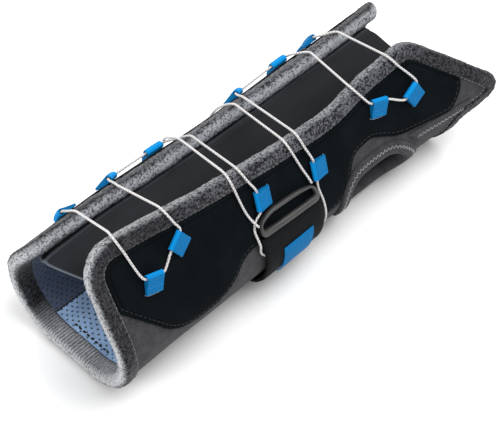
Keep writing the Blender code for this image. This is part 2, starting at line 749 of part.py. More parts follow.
def cords(eyes):
    """Two laces that meet under the strap, and the pull cord through the strap's hem."""
    left = STRAP_PLACE - STRAP_WIDTH / 2
    right = STRAP_PLACE + STRAP_WIDTH / 2
    low = CLEAR + LACE / 2 + 0.15 * MM
    high = low + PANEL + CLEAR
    over = high + LACE + 2 * CLEAR
    tuck = STRAP_RISE[1] + 4.5 * MM
    hidden = STRAP_TOP - 12 * MM
    beside = LACE / 2 + 3 * CLEAR
    top = STRAP_TOP + HANDLE_HEIGHT
    lace_proximal = (
        "far_loop_1",
        (-1, 0.135 * LENGTH, 0),
        (1, 0.079 * LENGTH, 0),
        "near_loop_1",
        "near_loop_2",
        (1, 0.194 * LENGTH, 0),
        (-1, 0.230 * LENGTH, 0),
        "far_loop_2",
        "far_loop_3",
        (-1, 0.412 * LENGTH, 0),
        (1, 0.368 * LENGTH, 0),
        "near_loop_3",
        (left + 1.2 * MM, top - 0.6 * MM, high),
        (left - beside, top - 4 * MM, high),
        (left - beside, STRAP_TOP + 1 * MM, high),
        (left - beside, STRAP_TOP - 1.5 * MM, high),
        (left - beside, STRAP_TOP - 5.5 * MM, low),
        (left + 1.5 * MM, STRAP_TOP - 9.5 * MM, low),
        (left + 6 * MM, hidden, low),
        (left + 11 * MM, hidden, low),
        (STRAP_PLACE - CLEAR, hidden, low),
    )
    lace_distal = (
        (STRAP_PLACE + CLEAR, tuck, low),
        (right - 10 * MM, tuck, low),
        (right - 4 * MM, tuck, low),
        (right + beside, tuck + 6 * MM, low),
        (right + beside + 0.4 * MM, tuck + 9.5 * MM, low),
        (right + beside + 0.4 * MM, STRAP_TOP - 13 * MM, high),
        (right + beside + 0.4 * MM, STRAP_TOP - 2 * MM, high),
        (right + beside, STRAP_TOP + 4 * MM, high),
        "near_loop_4",
        (1, 0.513 * LENGTH, 0),
        (-1, 0.562 * LENGTH, 0),
        "far_loop_4",
        "far_loop_5",
        (-1, 0.737 * LENGTH, 0),
        (1, 0.675 * LENGTH, 0),
        "near_loop_5",
        "near_loop_6",
        (1, 0.777 * LENGTH, 0),
        (-1, 0.816 * LENGTH, 0),
        "far_loop_6",
    )
    hem = -STRAP_FOOT + HEM_WIDTH / 2
    bore = CLEAR + HEM_PLY / 2
    pull_cord = (
        (left + 0.2 * MM, top - 3.3 * MM, over),
        (left - 0.9 * MM, top - 1.2 * MM, over),
        (left - 2.4 * MM, top + 5 * MM, high),
        (1, 0.339 * LENGTH, 0),
        (-1, 0.392 * LENGTH, LACE + 2 * CLEAR),
        (left + 8.4 * MM, hem - 34 * MM, over + 0.6 * MM),
        (left + 7.9 * MM, hem - 28 * MM, high + 0.3 * MM),
        (left + 6 * MM, hem - 21 * MM, high),
        (left - 1 * MM, hem - 13 * MM, high),
        (left - 3.5 * MM, hem - 6 * MM, bore),
        (left - 2.5 * MM, hem - 1 * MM, bore),
        (left, hem, bore),
        (left + 5 * MM, hem, bore),
        (STRAP_PLACE, hem, bore),
        (right - 5 * MM, hem, bore),
        (right, hem, bore),
        (right + 2.5 * MM, hem - 1.2 * MM, bore),
        (right + 3.2 * MM, hem - 7 * MM, bore),
        (right + 3 * MM, hem - 14 * MM, high),
        (right + 3.6 * MM, hem - 30 * MM, high),
        (-1, 0.534 * LENGTH, 0),
        (1, 0.483 * LENGTH, 0),
        (right - 3.6 * MM, top + 6 * MM, high),
        (right - 2.2 * MM, top - 1 * MM, high + 1 * MM),
        (right - 1.9 * MM, top - 3 * MM, high + 1 * MM),
    )
    for name, stops, diameter in (
        ("lace_proximal", lace_proximal, LACE),
        ("lace_distal", lace_distal, LACE),
        ("pull_cord", pull_cord, PULL),
    ):
        cord_tube(name, cord_route(stops, eyes, diameter), diameter)


def tongue():
    """The thin tongue between the rims: a sheet that sags from wall to wall."""
    inside = -WALL - LINING - 2 * CLEAR - TONGUE / 2
    start, end = TONGUE_ENDS[0] * LENGTH, TONGUE_ENDS[1] * LENGTH
    bm = bmesh.new()
    along, wide = STATIONS, 10
    bmesh.ops.create_grid(bm, x_segments=along, y_segments=wide, size=1)
    for vert in bm.verts:
        u, t = (vert.co.x + 1) / 2, (vert.co.y + 1) / 2
        corner = min(t, 1 - t) / TONGUE_ROUND
        trim = TONGUE_CORNER * (1 - math.sqrt(max(0, 1 - (1 - min(corner, 1)) ** 2)))
        x = start + trim + (end - start - 2 * trim) * u
        far = on_wall(-1, x, TONGUE_FAR, inside)
        near = bend(x, TONGUE_NEAR, inside)
        low = (far + near) / 2 - Vector((0, 0, TONGUE_SAG))
        vert.co = far * (1 - t) ** 2 + low * 2 * t * (1 - t) + near * t ** 2
    bmesh.ops.recalc_face_normals(bm, faces=bm.faces)
    sheet = add_object("tongue", bm)
    thick = sheet.modifiers.new("Ply", "SOLIDIFY")
    thick.thickness = TONGUE
    thick.offset = 0
    finish(sheet, "tongue")


def main():
    for old in list(bpy.data.objects):
        bpy.data.objects.remove(old)
    sleeve_pieces()
    strap_pieces()
    pull_handle()
    cords(loops())
    tongue()


main()
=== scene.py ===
"""Looks of the laced wrist brace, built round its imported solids.

Cloth is cut in pattern coordinates: x runs along the forearm from the elbow end, a runs round the arm
from the middle of the base (positive on the near side), and h is the height above the sleeve's outer
face. bent() lays pattern points round the arm.
"""
import math

import bmesh
import bpy
import numpy as np
from mathutils import Matrix, Vector, noise


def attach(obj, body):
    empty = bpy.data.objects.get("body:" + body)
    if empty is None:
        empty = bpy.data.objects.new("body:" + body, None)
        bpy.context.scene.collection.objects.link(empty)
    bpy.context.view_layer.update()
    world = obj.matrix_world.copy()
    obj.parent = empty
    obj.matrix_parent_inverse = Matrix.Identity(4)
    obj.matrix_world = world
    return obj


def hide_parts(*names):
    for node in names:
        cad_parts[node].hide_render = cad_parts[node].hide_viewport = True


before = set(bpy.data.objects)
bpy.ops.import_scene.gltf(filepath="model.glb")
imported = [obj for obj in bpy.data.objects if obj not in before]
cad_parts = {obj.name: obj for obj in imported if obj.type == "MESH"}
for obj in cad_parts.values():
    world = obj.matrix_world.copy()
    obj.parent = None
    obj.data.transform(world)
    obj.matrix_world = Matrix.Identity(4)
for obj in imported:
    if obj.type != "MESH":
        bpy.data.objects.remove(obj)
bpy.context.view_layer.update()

bl_info = {
    "name": "Laced wrist brace",
    "version": (1, 0, 0),
    "blender": (4, 5, 0),
    "location": "3D View > Sidebar > Brace",
    "description": "Dresses a wrist brace in plush, velour, webbing and laces",
    "category": "Object",
}

MM = 0.001

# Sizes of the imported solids
LENGTH = 255 * MM
NEAR_GIRTH = 122.5 * MM
FAR_GIRTH = 88 * MM
FLAT_HALF = 12 * MM
SIDE_RADIUS = 30 * MM
CORNER = 14 * MM
CLEAR = 0.3 * MM
WALL = 4.5 * MM
LINING = 1.0 * MM
PANEL = 1.2 * MM
BINDING_PLY = 1.3 * MM
BINDING_WIDTH = 6.2 * MM
BINDING_REACH = 1.9 * MM
INNER_WIDTH = 8.4 * MM
MARGIN = BINDING_WIDTH + 0.5 * MM
TAPE = 0.9 * MM
TONGUE = 1.5 * MM
SEAM_PLACE = 22 * MM
STRAP_WIDTH = 39 * MM
STRAP_PLY = 1.8 * MM
STRAP_PLACE = 110.7 * MM
STRAP_TOP = 68.2 * MM
STRAP_FOOT = 43 * MM
STRAP_SLANT = 1.1 * MM
STRAP_RISE = (23 * MM, 34 * MM)
HEM_WIDTH = 5.6 * MM
HEM_PLY = 3.2 * MM
HANDLE_PLY = 3.0 * MM
HANDLE_HEIGHT = 12.6 * MM
HANDLE_BAR = 3.5 * MM
HANDLE_ARCH = 2.1 * MM
HANDLE_PROUD = 0.5 * MM
HANDLE_TAPER = 1.0 * MM
TAB_WIDTH = 20 * MM
TAB_HEIGHT = 19 * MM
TAB_PLY = 0.8 * MM
TAB_TOP = 58.5 * MM
TAB_SHIFT = 0.8 * MM
LACE = 1.2 * MM
EASE = 0.60 * MM
WEB_WIDTH = 9.5 * MM
WEB_LENGTH = 10 * MM
WEB_PLY = 0.6 * MM
WEB_SEWN = 2.2
MOUTH = 0.7 * MM
TONGUE_ENDS = (0.055, 0.915)
TONGUE_FAR = 9.5 * MM
TONGUE_NEAR = 66 * MM
TONGUE_SAG = 5 * MM
TONGUE_CORNER = 8 * MM

# Section along the brace: share of the length, near and far bend, near turn in degrees, raised base
SECTIONS = (
    (0.00, 0.99, 0.94, 116, 0),
    (0.20, 0.94, 0.95, 116, 1),
    (0.35, 0.92, 0.92, 116, 1),
    (0.60, 0.89, 0.90, 116, 1),
    (0.72, 0.86, 0.90, 116, 0.6),
    (0.88, 0.94, 0.92, 116, 0),
    (1.00, 1.02, 0.93, 116, 0),
)

# Rims: share of the length, share of the girth
NEAR_RIM = (
    (0.0, 1.0), (0.12, 0.952), (0.21, 0.912), (0.355, 0.864),
    (0.47, 0.834), (0.61, 0.814), (0.745, 0.841), (0.828, 0.878),
)
FAR_RIM = ((0.0, 0.90), (0.12, 0.955), (0.235, 0.985), (0.47, 0.935), (0.70, 0.945), (0.95, 0.955))

# Outlines: share of the length, share of the near girth (far girth where negative), corner radius
# as a share of CORNER
HAND_END = (
    (0.828, 0.878, 1.0),
    (1.043, 0.461, 0.75),
    (0.906, 0.412, 0.45),
    (0.890, 0.000, 2.0),
    (0.941, -0.500, 1.8),
    (0.955, -0.955, 0.75),
)
THUMB = (
    (0.592, 0.253, 0.85),
    (0.596, 0.494, 0.70),
    (0.729, 0.474, 1.30),
    (0.784, 0.359, 0.70),
    (0.745, 0.253, 1.00),
)
NEAR_PANEL = (
    (0.000, 1.060, 0.0),
    (0.020, 0.751, 1.8),
    (0.141, 0.441, 2.2),
    (0.259, 0.437, 2.2),
    (0.322, 0.555, 1.1),
    (0.392, 0.539, 1.1),
    (0.478, 0.431, 1.4),
    (0.573, 0.441, 1.0),
    (0.627, 0.596, 0.6),
    (0.682, 0.596, 0.7),
    (0.745, 0.522, 2.0),
    (0.886, 0.500, 0.6),
    (0.930, 0.612, 0.8),
    (0.860, 0.850, 0.0),
    (0.860, 1.060, 0.0),
)
FAR_PANEL = (
    (0.000, -1.10, 0.0),
    (0.015, -0.70, 1.5),
    (0.120, -0.47, 2.0),
    (0.235, -0.47, 1.6),
    (0.330, -0.60, 1.6),
    (0.550, -0.60, 1.6),
    (0.700, -0.47, 1.6),
    (0.840, -0.47, 2.0),
    (0.950, -0.72, 1.0),
    (1.000, -1.10, 0.0),
)
SEAM_TAPE = ((0.793, 0.441, 0.0), (0.767, 0.500, 0.0), (0.940, 0.500, 0.0), (0.940, 0.441, 0.0))

# Webbing loops: name, share of the length, fold's place below the rim in loop lengths, way in degrees
NEAR_LOOPS = (
    ("near_loop_1", 0.122, 2.17, -109),
    ("near_loop_2", 0.183, 1.14, -58),
    ("near_loop_5", 0.720, 1.14, -107),
    ("near_loop_6", 0.793, 1.96, -61),
)
STRAP_LOOPS = (
    ("near_loop_3", -0.403, 1.67, -9),
    ("near_loop_4", 0.516, 1.88, -9),
)
FAR_LOOPS = (
    ("far_loop_1", 0.124, 1.45, 0),
    ("far_loop_2", 0.257, 1.05, 135),
    ("far_loop_3", 0.361, 1.00, 90),
    ("far_loop_4", 0.590, 1.05, 135),
    ("far_loop_5", 0.698, 1.00, 90),
    ("far_loop_6", 0.802, 1.45, 180),
)

# Camera: place, right and up, worked out from the brace's own lines, and its lens on a 36 mm sensor
CAMERA_PLACE = Vector((-0.38264, -0.39743, 0.68040))
CAMERA_RIGHT = Vector((0.7113, -0.7028, 0.0))
CAMERA_UP = Vector((0.5416, 0.5481, 0.6374))
CAMERA_LENS = 125.35


class BraceSizes(bpy.types.PropertyGroup):
    """Sizes of the finishing work."""
    cloth_grid: bpy.props.FloatProperty(
        name="Cloth grid", description="Size of a cloth face", default=2.0 * MM, unit="LENGTH")
    plush_grid: bpy.props.FloatProperty(
        name="Plush grid", description="Step along a plush binding", default=0.9 * MM, unit="LENGTH")
    pile: bpy.props.FloatProperty(
        name="Pile", description="How far tufts of plush stand out", default=0.38 * MM, unit="LENGTH")
    wave: bpy.props.FloatProperty(
        name="Waves", description="Height of the soft dents in the walls", default=0.45 * MM, unit="LENGTH")
    stitch: bpy.props.FloatProperty(
        name="Stitch", description="Length of a stitch", default=1.9 * MM, unit="LENGTH")
    thread: bpy.props.FloatProperty(
        name="Thread", description="Thickness of the sewing thread", default=0.32 * MM, unit="LENGTH")


class BraceColours(bpy.types.PropertyGroup):
    """Colours of the cloths, cords and plastics."""
    plush_light: bpy.props.FloatVectorProperty(
        name="Plush, light", description="Tips of the pile", subtype="COLOR", default=(0.055, 0.056, 0.064))
    plush_dark: bpy.props.FloatVectorProperty(
        name="Plush, dark", description="Depth of the pile", subtype="COLOR", default=(0.006, 0.006, 0.008))
    # Painted highlight: a pale colour for the sheen on the binding's rolled edge and for the lit inner band at the
    # elbow end
    plush_highlight: bpy.props.FloatVectorProperty(
        name="Plush, painted highlight", description="Pile on the folded edge", subtype="COLOR", default=(0.46, 0.47, 0.49))
    knit: bpy.props.FloatVectorProperty(
        name="Knit", description="Sleeve's outer knit", subtype="COLOR", default=(0.046, 0.046, 0.050))
    velour: bpy.props.FloatVectorProperty(
        name="Velour", description="Outer panels", subtype="COLOR", default=(0.0026, 0.0044, 0.0058))
    # Painted light and painted shade: one lining as a lit copy on the base and a shaded copy on the far side
    lining_lit: bpy.props.FloatVectorProperty(
        name="Lining, lit", description="Lining of the base", subtype="COLOR", default=(0.37, 0.56, 0.88))
    lining_shaded: bpy.props.FloatVectorProperty(
        name="Lining, shaded", description="Lining of the far side", subtype="COLOR", default=(0.065, 0.09, 0.155))
    tongue: bpy.props.FloatVectorProperty(
        name="Tongue", description="Smooth tongue", subtype="COLOR", default=(0.0115, 0.0128, 0.0152))
    webbing: bpy.props.FloatVectorProperty(
        name="Webbing", description="Loops and tab", subtype="COLOR", default=(0.0008, 0.165, 0.42))
    elastic: bpy.props.FloatVectorProperty(
        name="Elastic", description="Wrist strap", subtype="COLOR", default=(0.0032, 0.0038, 0.0046))
    lace: bpy.props.FloatVectorProperty(
        name="Lace", description="Laces and pull cord", subtype="COLOR", default=(0.62, 0.60, 0.60))
    moulded: bpy.props.FloatVectorProperty(
        name="Moulded", description="Pull handle", subtype="COLOR", default=(0.034, 0.033, 0.033))
    thread_dark: bpy.props.FloatVectorProperty(
        name="Thread, dark", description="Stitches on velour", subtype="COLOR", default=(0.012, 0.014, 0.017))
    thread_grey: bpy.props.FloatVectorProperty(
        name="Thread, grey", description="Zigzag stitches", subtype="COLOR", default=(0.34, 0.34, 0.35))
    floor: bpy.props.FloatVectorProperty(
        name="Floor", description="Pale floor", subtype="COLOR", default=(0.93, 0.93, 0.93))


def sizes():
    return bpy.context.scene.brace_sizes


def colours():
    return bpy.context.scene.brace_colours


# Pattern

def smooth(table, share):
    """Read a table's columns at a share of the length, on a smooth curve through its rows."""
    rows = np.array(table, float)
    share = min(max(share, rows[0, 0]), rows[-1, 0])
    i = int(min(np.searchsorted(rows[:, 0], share, side="right") - 1, len(rows) - 2))
    a, b = rows[i], rows[i + 1]
    t = (share - a[0]) / (b[0] - a[0])
    before = rows[max(i - 1, 0)]
    after = rows[min(i + 2, len(rows) - 1)]
    span = b[0] - a[0]
    ma = (b - before) / (b[0] - before[0]) * span
    mb = (after - a) / (after[0] - a[0]) * span
    t2, t3 = t * t, t * t * t
    return (2 * t3 - 3 * t2 + 1) * a + (t3 - 2 * t2 + t) * ma + (3 * t2 - 2 * t3) * b + (t3 - t2) * mb


def rim(side, x):
    """Distance of the rim from the middle of the base, round the arm."""
    table, girth = (NEAR_RIM, NEAR_GIRTH) if side > 0 else (FAR_RIM, FAR_GIRTH)
    return girth * smooth(table, x / LENGTH)[1]


PLACES = np.linspace(0, LENGTH, 256)
COLUMNS = np.array([smooth(SECTIONS, x / LENGTH) for x in PLACES])


def waves(x, a):
    """Soft dents of the padded walls, which fade out towards the base."""
    fade = np.clip((np.abs(a) - 18 * MM) / (20 * MM), 0, 1)
    long = np.sin(x / (17 * MM) + 1.1 * np.sin(a / (21 * MM))) * np.cos(a / (16 * MM) + 1.3)
    short = np.sin(x / (9 * MM) + a / (13 * MM)) * np.cos(x / (31 * MM) - a / (11 * MM))
    return sizes().wave * fade * (0.65 * long + 0.35 * short)


def bent(points):
    """Lay pattern points (x, a, h) round the arm."""
    x, a, h = np.asarray(points, float).reshape(-1, 3).T
    near, far, turn, raised = (np.interp(x, PLACES, COLUMNS[:, k]) for k in range(1, 5))
    base = BINDING_PLY + CLEAR + np.maximum(raised, 0) * (STRAP_PLY - BINDING_PLY)
    side = np.where(a >= 0, 1, -1)
    radius = SIDE_RADIUS * np.where(side > 0, near, far)
    run = np.abs(a) - FLAT_HALF
    limit = np.where(side > 0, np.radians(turn), math.pi)
    angle = np.clip(run / radius, 0, limit)
    straight = np.maximum(run - radius * limit, 0)
    out = h + waves(x, a)
    across = np.minimum(np.abs(a), FLAT_HALF) + radius * np.sin(angle) + straight * np.cos(angle)
    y = -side * (across + out * np.sin(angle))
    z = base + radius * (1 - np.cos(angle)) + straight * np.sin(angle) - out * np.cos(angle)
    return np.stack((x - STRAP_PLACE, y, z), axis=1)


def bend(x, a, h):
    """Lay one pattern point round the arm."""
    return Vector(bent((x, a, h))[0])


def rounded(corners, step=9):
    """Turn corners (x, a, radius) into a ring of points with arcs at the corners."""
    ring = []
    for i, (x, a, radius) in enumerate(corners):
        here = Vector((x, a))
        before = Vector(corners[i - 1][:2]) - here
        after = Vector(corners[(i + 1) % len(corners)][:2]) - here
        if radius <= 0:
            ring.append((x, a))
            continue
        half = before.angle(after) / 2
        reach = min(radius / math.tan(half), 0.48 * before.length, 0.48 * after.length)
        radius = reach * math.tan(half)
        centre = here + (before.normalized() + after.normalized()).normalized() * radius / math.sin(half)
        start = here + before.normalized() * reach - centre
        turn = start.angle_signed(here + after.normalized() * reach - centre)
        steps = max(2, round(abs(turn) / math.radians(step)))
        for k in range(steps + 1):
            arm = start.copy()
            arm.rotate(Matrix.Rotation(-turn * k / steps, 2))
            ring.append(tuple(centre + arm))
    return ring


def scaled(table):
    """Turn a table of shares into corners in metres."""
    def row(share, girth, radius):
        return share * LENGTH, girth * (NEAR_GIRTH if girth >= 0 else FAR_GIRTH), radius * CORNER
    return [row(*entry) for entry in table]


def blank_outline():
    """The sleeve's cut edge, anticlockwise in the pattern."""
    start = BINDING_REACH
    near = [(x, rim(1, x), 0) for x in np.linspace(0.14, 0.76, 24) * LENGTH]
    far = [(x, -rim(-1, x), 0) for x in np.linspace(0.86, 0.12, 24) * LENGTH]
    elbow_near = (start, rim(1, start), CORNER)
    elbow_far = (start, -rim(-1, start), 0.8 * CORNER)
    return rounded([elbow_near, *near, *scaled(HAND_END), *far, elbow_far])[::-1]


def inset(ring, distance):
    """Move a ring of points towards its inside by a distance, outwards where it is negative."""
    points = np.array(ring)
    ahead = np.roll(points, -1, axis=0)
    sign = np.sign(np.sum(points[:, 0] * ahead[:, 1] - ahead[:, 0] * points[:, 1]))
    after = ahead - points
    after /= np.linalg.norm(after, axis=1)[:, None]
    before = np.roll(after, 1, axis=0)
    middle = before + after
    normal = np.stack((-middle[:, 1], middle[:, 0]), axis=1) * sign
    normal /= np.linalg.norm(normal, axis=1)[:, None]
    straight = np.stack((-after[:, 1], after[:, 0]), axis=1) * sign
    stretch = np.maximum(np.sum(normal * straight, axis=1), 0.5)
    return points + normal * (distance / stretch)[:, None]


def resampled(ring, step, closed=True):
    """Points at even steps along a ring or a line."""
    points = np.array(ring, float)
    if closed:
        points = np.vstack((points, points[:1]))
    runs = np.concatenate(([0], np.cumsum(np.linalg.norm(np.diff(points, axis=0), axis=1))))
    count = max(3, round(runs[-1] / step))
    marks = np.linspace(0, runs[-1], count + 1)
    even = np.stack([np.interp(marks, runs, points[:, k]) for k in range(points.shape[1])], axis=1)
    return even[:-1] if closed else even


def shrunk(ring, distance):
    """Move a ring towards its inside like inset, and drop the points that end up too near it."""
    moved = inset(ring, distance)
    away = border_distance(ring, moved[:, 0], moved[:, 1])
    return moved[away > abs(distance) - 0.05 * MM]


def softened(ring, passes, closed=True):
    """Take the kinks out of an evenly stepped ring or line."""
    points = np.array(ring, float)
    for _ in range(passes):
        mean = (np.roll(points, 1, axis=0) + np.roll(points, -1, axis=0)) / 2
        if not closed:
            mean[0], mean[-1] = points[0], points[-1]
        points = (points + mean) / 2
    return points


def border_distance(ring, x, a):
    """Distance of pattern points from a ring."""
    start = np.array(ring)
    along = np.roll(start, -1, axis=0) - start
    nearest = np.full(len(x), 1e9)
    for (sx, sa), (dx, da) in zip(start, along):
        share = np.clip(((x - sx) * dx + (a - sa) * da) / max(dx * dx + da * da, 1e-12), 0, 1)
        nearest = np.minimum(nearest, np.hypot(x - sx - share * dx, a - sa - share * da))
    return nearest


# Shader expressions

class Wire:
    """A socket of a material's nodes that can be reckoned with."""

    def __init__(self, finish, socket):
        self.finish = finish
        self.socket = socket

    def _math(self, operation, first, second):
        return self.finish.node("ShaderNodeMath", {"operation": operation}, (first, second))

    def __add__(self, other):
        return self._math("ADD", self, other)

    def __radd__(self, other):
        return self._math("ADD", other, self)

    def __sub__(self, other):
        return self._math("SUBTRACT", self, other)

    def __rsub__(self, other):
        return self._math("SUBTRACT", other, self)

    def __mul__(self, other):
        return self._math("MULTIPLY", self, other)

    def __rmul__(self, other):
        return self._math("MULTIPLY", other, self)

    def __truediv__(self, other):
        return self._math("DIVIDE", self, other)

    def __pow__(self, other):
        return self._math("POWER", self, other)


class Finish:
    """A material, whose nodes are added one by one."""

    def __init__(self, name, roughness, **constants):
        self.material = bpy.data.materials.new(name)
        self.material.use_nodes = True
        self.tree = self.material.node_tree
        self.shader = self.tree.nodes["Principled BSDF"]
        self.shader.inputs["Roughness"].default_value = roughness
        for label, value in constants.items():
            self.shader.inputs[label.replace("_", " ")].default_value = value

    def node(self, kind, settings=None, inputs=(), output=0):
        """Add a node: its settings first, then the values or links of its sockets."""
        added = self.tree.nodes.new(kind)
        for label, value in (settings or {}).items():
            setattr(added, label, value)
        pairs = inputs.items() if isinstance(inputs, dict) else enumerate(inputs)
        for label, value in pairs:
            self.feed(added.inputs[label], value)
        return Wire(self, added.outputs[output])

    def feed(self, socket, value):
        if isinstance(value, Wire):
            self.tree.links.new(value.socket, socket)
        elif value is not None:
            socket.default_value = value

    def pattern(self):
        """The piece's own pattern coordinates, in millimetres, as two values."""
        uv = self.node("ShaderNodeUVMap", {"uv_map": "Pattern"})
        split = self.node("ShaderNodeSeparateXYZ", inputs=(uv,))
        other = Wire(self, split.socket.node.outputs[1])
        return split * 1000, other * 1000

    def grain(self, size, detail=2.0, rough=0.5, stretch=(1, 1, 1)):
        """Noise in object space, whose cells are about size metres wide."""
        place = self.node("ShaderNodeTexCoord", output="Object")
        place = self.node("ShaderNodeMapping", inputs={"Vector": place, "Scale": stretch})
        inputs = {"Vector": place, "Scale": 1 / size, "Detail": detail, "Roughness": rough}
        return self.node("ShaderNodeTexNoise", inputs=inputs)

    def level(self, value, low, high, smooth_edges=True):
        """0 below low, 1 above high."""
        kind = "SMOOTHSTEP" if smooth_edges else "LINEAR"
        settings = {"interpolation_type": kind}
        return self.node("ShaderNodeMapRange", settings, {"Value": value, "From Min": low, "From Max": high})

    def call(self, operation, first, second=None):
        return self.node("ShaderNodeMath", {"operation": operation}, (first, second))

    def blend(self, factor, first, second):
        """Mix two colours."""
        def colour(value):
            return value if isinstance(value, Wire) else (*value[:3], 1)
        inputs = {0: factor, 6: colour(first), 7: colour(second)}
        return self.node("ShaderNodeMix", {"data_type": "RGBA"}, inputs, output=2)

    def finish(self, colour, height=None, depth=0.0, roughness=None):
        """Feed the shader: a colour, a relief in metres and a roughness that varies."""
        value = colour if isinstance(colour, Wire) else (*colour[:3], 1)
        self.feed(self.shader.inputs["Base Color"], value)
        if roughness is not None:
            self.feed(self.shader.inputs["Roughness"], roughness)
        if height is not None:
            inputs = {"Height": height, "Distance": depth, "Strength": 1.0}
            bump = self.node("ShaderNodeBump", inputs=inputs)
            self.feed(self.shader.inputs["Normal"], bump)
        shown = colour if not isinstance(colour, Wire) else (0.3, 0.3, 0.3)
        self.material.diffuse_color = (*shown[:3], 1)
        return self.material


def tinted(colour, factor):
    return tuple(min(1, part * factor) for part in colour[:3])


def plush_finish(name="plush_pile"):
    """Grey fleece: tufts with light tips and dark depths, painted sheen on the rolled edge and painted light on the
    inner band at the elbow end.
    """
    c = colours()
    f = Finish(name, 0.95, Sheen_Weight=0.25, Sheen_Roughness=0.35, Specular_IOR_Level=0.1)
    tufts = f.grain(1.15 * MM, 2.0, 0.55)
    fine = f.grain(0.42 * MM, 2.0, 0.6)
    patches = f.grain(9 * MM, 1.5)
    sheen_rim = f.node("ShaderNodeAttribute", {"attribute_name": "Sheen_rim"}, output="Fac")
    # The painted sheen on the rolled edge also lifts the tufts a little
    body = f.level(tufts + (fine - 0.5) * 0.45 + (patches - 0.5) * 0.22 + sheen_rim * 0.08, 0.40, 0.62)
    u, v = f.pattern()
    # Lighter along the middle of the length, darker towards both ends
    mid_length_share = f.level(u, 35, 95) * (1 - f.level(u, 195, 230))
    pale = f.blend(mid_length_share, tinted(c.plush_light, 0.75), tinted(c.plush_light, 2.0))
    shade = f.blend(body, tuple(c.plush_dark), pale)
    flecks = f.level(fine, 0.56, 0.72)
    shade = f.blend(flecks * 0.3, shade, tinted(c.plush_light, 2.4))
    # Painted sheen: pale pile colour on the rolled edge
    shade = f.blend(sheen_rim * (0.2 + body * 0.8), shade, tuple(c.plush_highlight))
    rib = f.node("ShaderNodeAttribute", {"attribute_name": "Rib"}, output="Fac")
    lit = f.node("ShaderNodeAttribute", {"attribute_name": "Lit"}, output="Fac")
    ribbed = f.call("SINE", rib * (2 * math.pi / 1.7) + tufts * 6) * 0.45 + fine * 0.9
    # Painted light: the inner band at the elbow end turns pale where it is lit, ribs and all
    shade = f.blend(lit * (0.3 + f.level(ribbed, 0.0, 0.8) * 0.7), shade, tuple(c.plush_highlight))
    return f.finish(shade, tufts * 0.6 + fine * 0.4 + lit * ribbed * 0.4, 0.8 * MM)


def knit_finish():
    """Brushed grey knit of the sleeve."""
    c = colours()
    f = Finish("brushed_knit", 0.95, Sheen_Weight=0.08, Sheen_Roughness=0.5, Specular_IOR_Level=0.1)
    u, v = f.pattern()
    fine = f.grain(0.36 * MM, 3.0, 0.65)
    cloud = f.grain(5 * MM, 2.0)
    ribs = f.call("SINE", u * 7.0) * f.call("SINE", v * 5.4)
    tone = f.level(fine + (cloud - 0.5) * 0.28 + ribs * 0.035, 0.34, 0.68)
    shade = f.blend(tone, tinted(c.knit, 0.42), tinted(c.knit, 1.45))
    return f.finish(shade, fine * 0.7 + ribs * 0.15, 0.35 * MM)


def velour_finish():
    """Dark loop velour with a little lint, pressed down along its sewn border, with painted shade in the sewn groove.
    """
    c = colours()
    f = Finish("dark_velour", 0.95, Sheen_Weight=0.01, Sheen_Roughness=0.3, Specular_IOR_Level=0.06)
    fine = f.grain(0.30 * MM, 2.0, 0.6)
    cloud = f.grain(14 * MM, 2.0)
    lint = f.level(f.grain(1.1 * MM, 4.0, 0.75), 0.70, 0.80)
    border = f.node("ShaderNodeAttribute", {"attribute_name": "Border"}, output="Fac")
    near_seam = f.call("ABSOLUTE", border * 1000 - 2.0)
    seam = 1 - f.level(near_seam, 0.0, 0.75)
    tone = f.level(fine + (cloud - 0.5) * 0.5, 0.30, 0.72)
    shade = f.blend(tone, tinted(c.velour, 0.55), tinted(c.velour, 1.55))
    shade = f.blend(lint * 0.10, shade, (0.05, 0.055, 0.06))
    # Painted shade: darker along the sewn groove 2 mm in from the border
    shade = f.blend(seam * 0.6, shade, tinted(c.velour, 0.3))
    return f.finish(shade, fine * 0.25 - seam, 0.45 * MM)


def lining_finish(name, colour, depth):
    """Stretch lining with staggered rows of small holes."""
    f = Finish(name, 0.85, Sheen_Weight=0.15)
    u, v = f.pattern()
    pitch_u, pitch_v, hole = 3.3, 2.5, 0.42
    row = v / pitch_v
    lane = f.call("FLOOR", row)
    shift = f.call("MODULO", f.call("ABSOLUTE", lane), 2.0) * 0.5
    across = (f.call("FRACT", u / pitch_u + shift) - 0.5) * pitch_u
    along = (f.call("FRACT", row) - 0.5) * pitch_v
    away = f.call("SQRT", across * across + along * along)
    holes = 1 - f.level(away, hole, hole + 0.28)
    mesh = f.call("SINE", u * 9.5 + v * 5.5) * f.call("SINE", u * 9.5 - v * 5.5)
    cloud = f.grain(9 * MM, 2.0)
    tone = f.level(mesh * 0.25 + cloud, 0.15, 0.85)
    shade = f.blend(tone, tinted(colour, 0.78), tinted(colour, 1.18))
    shade = f.blend(holes * depth, shade, (0.010, 0.014, 0.030))
    return f.finish(shade, mesh * 0.15 - holes, 0.5 * MM)


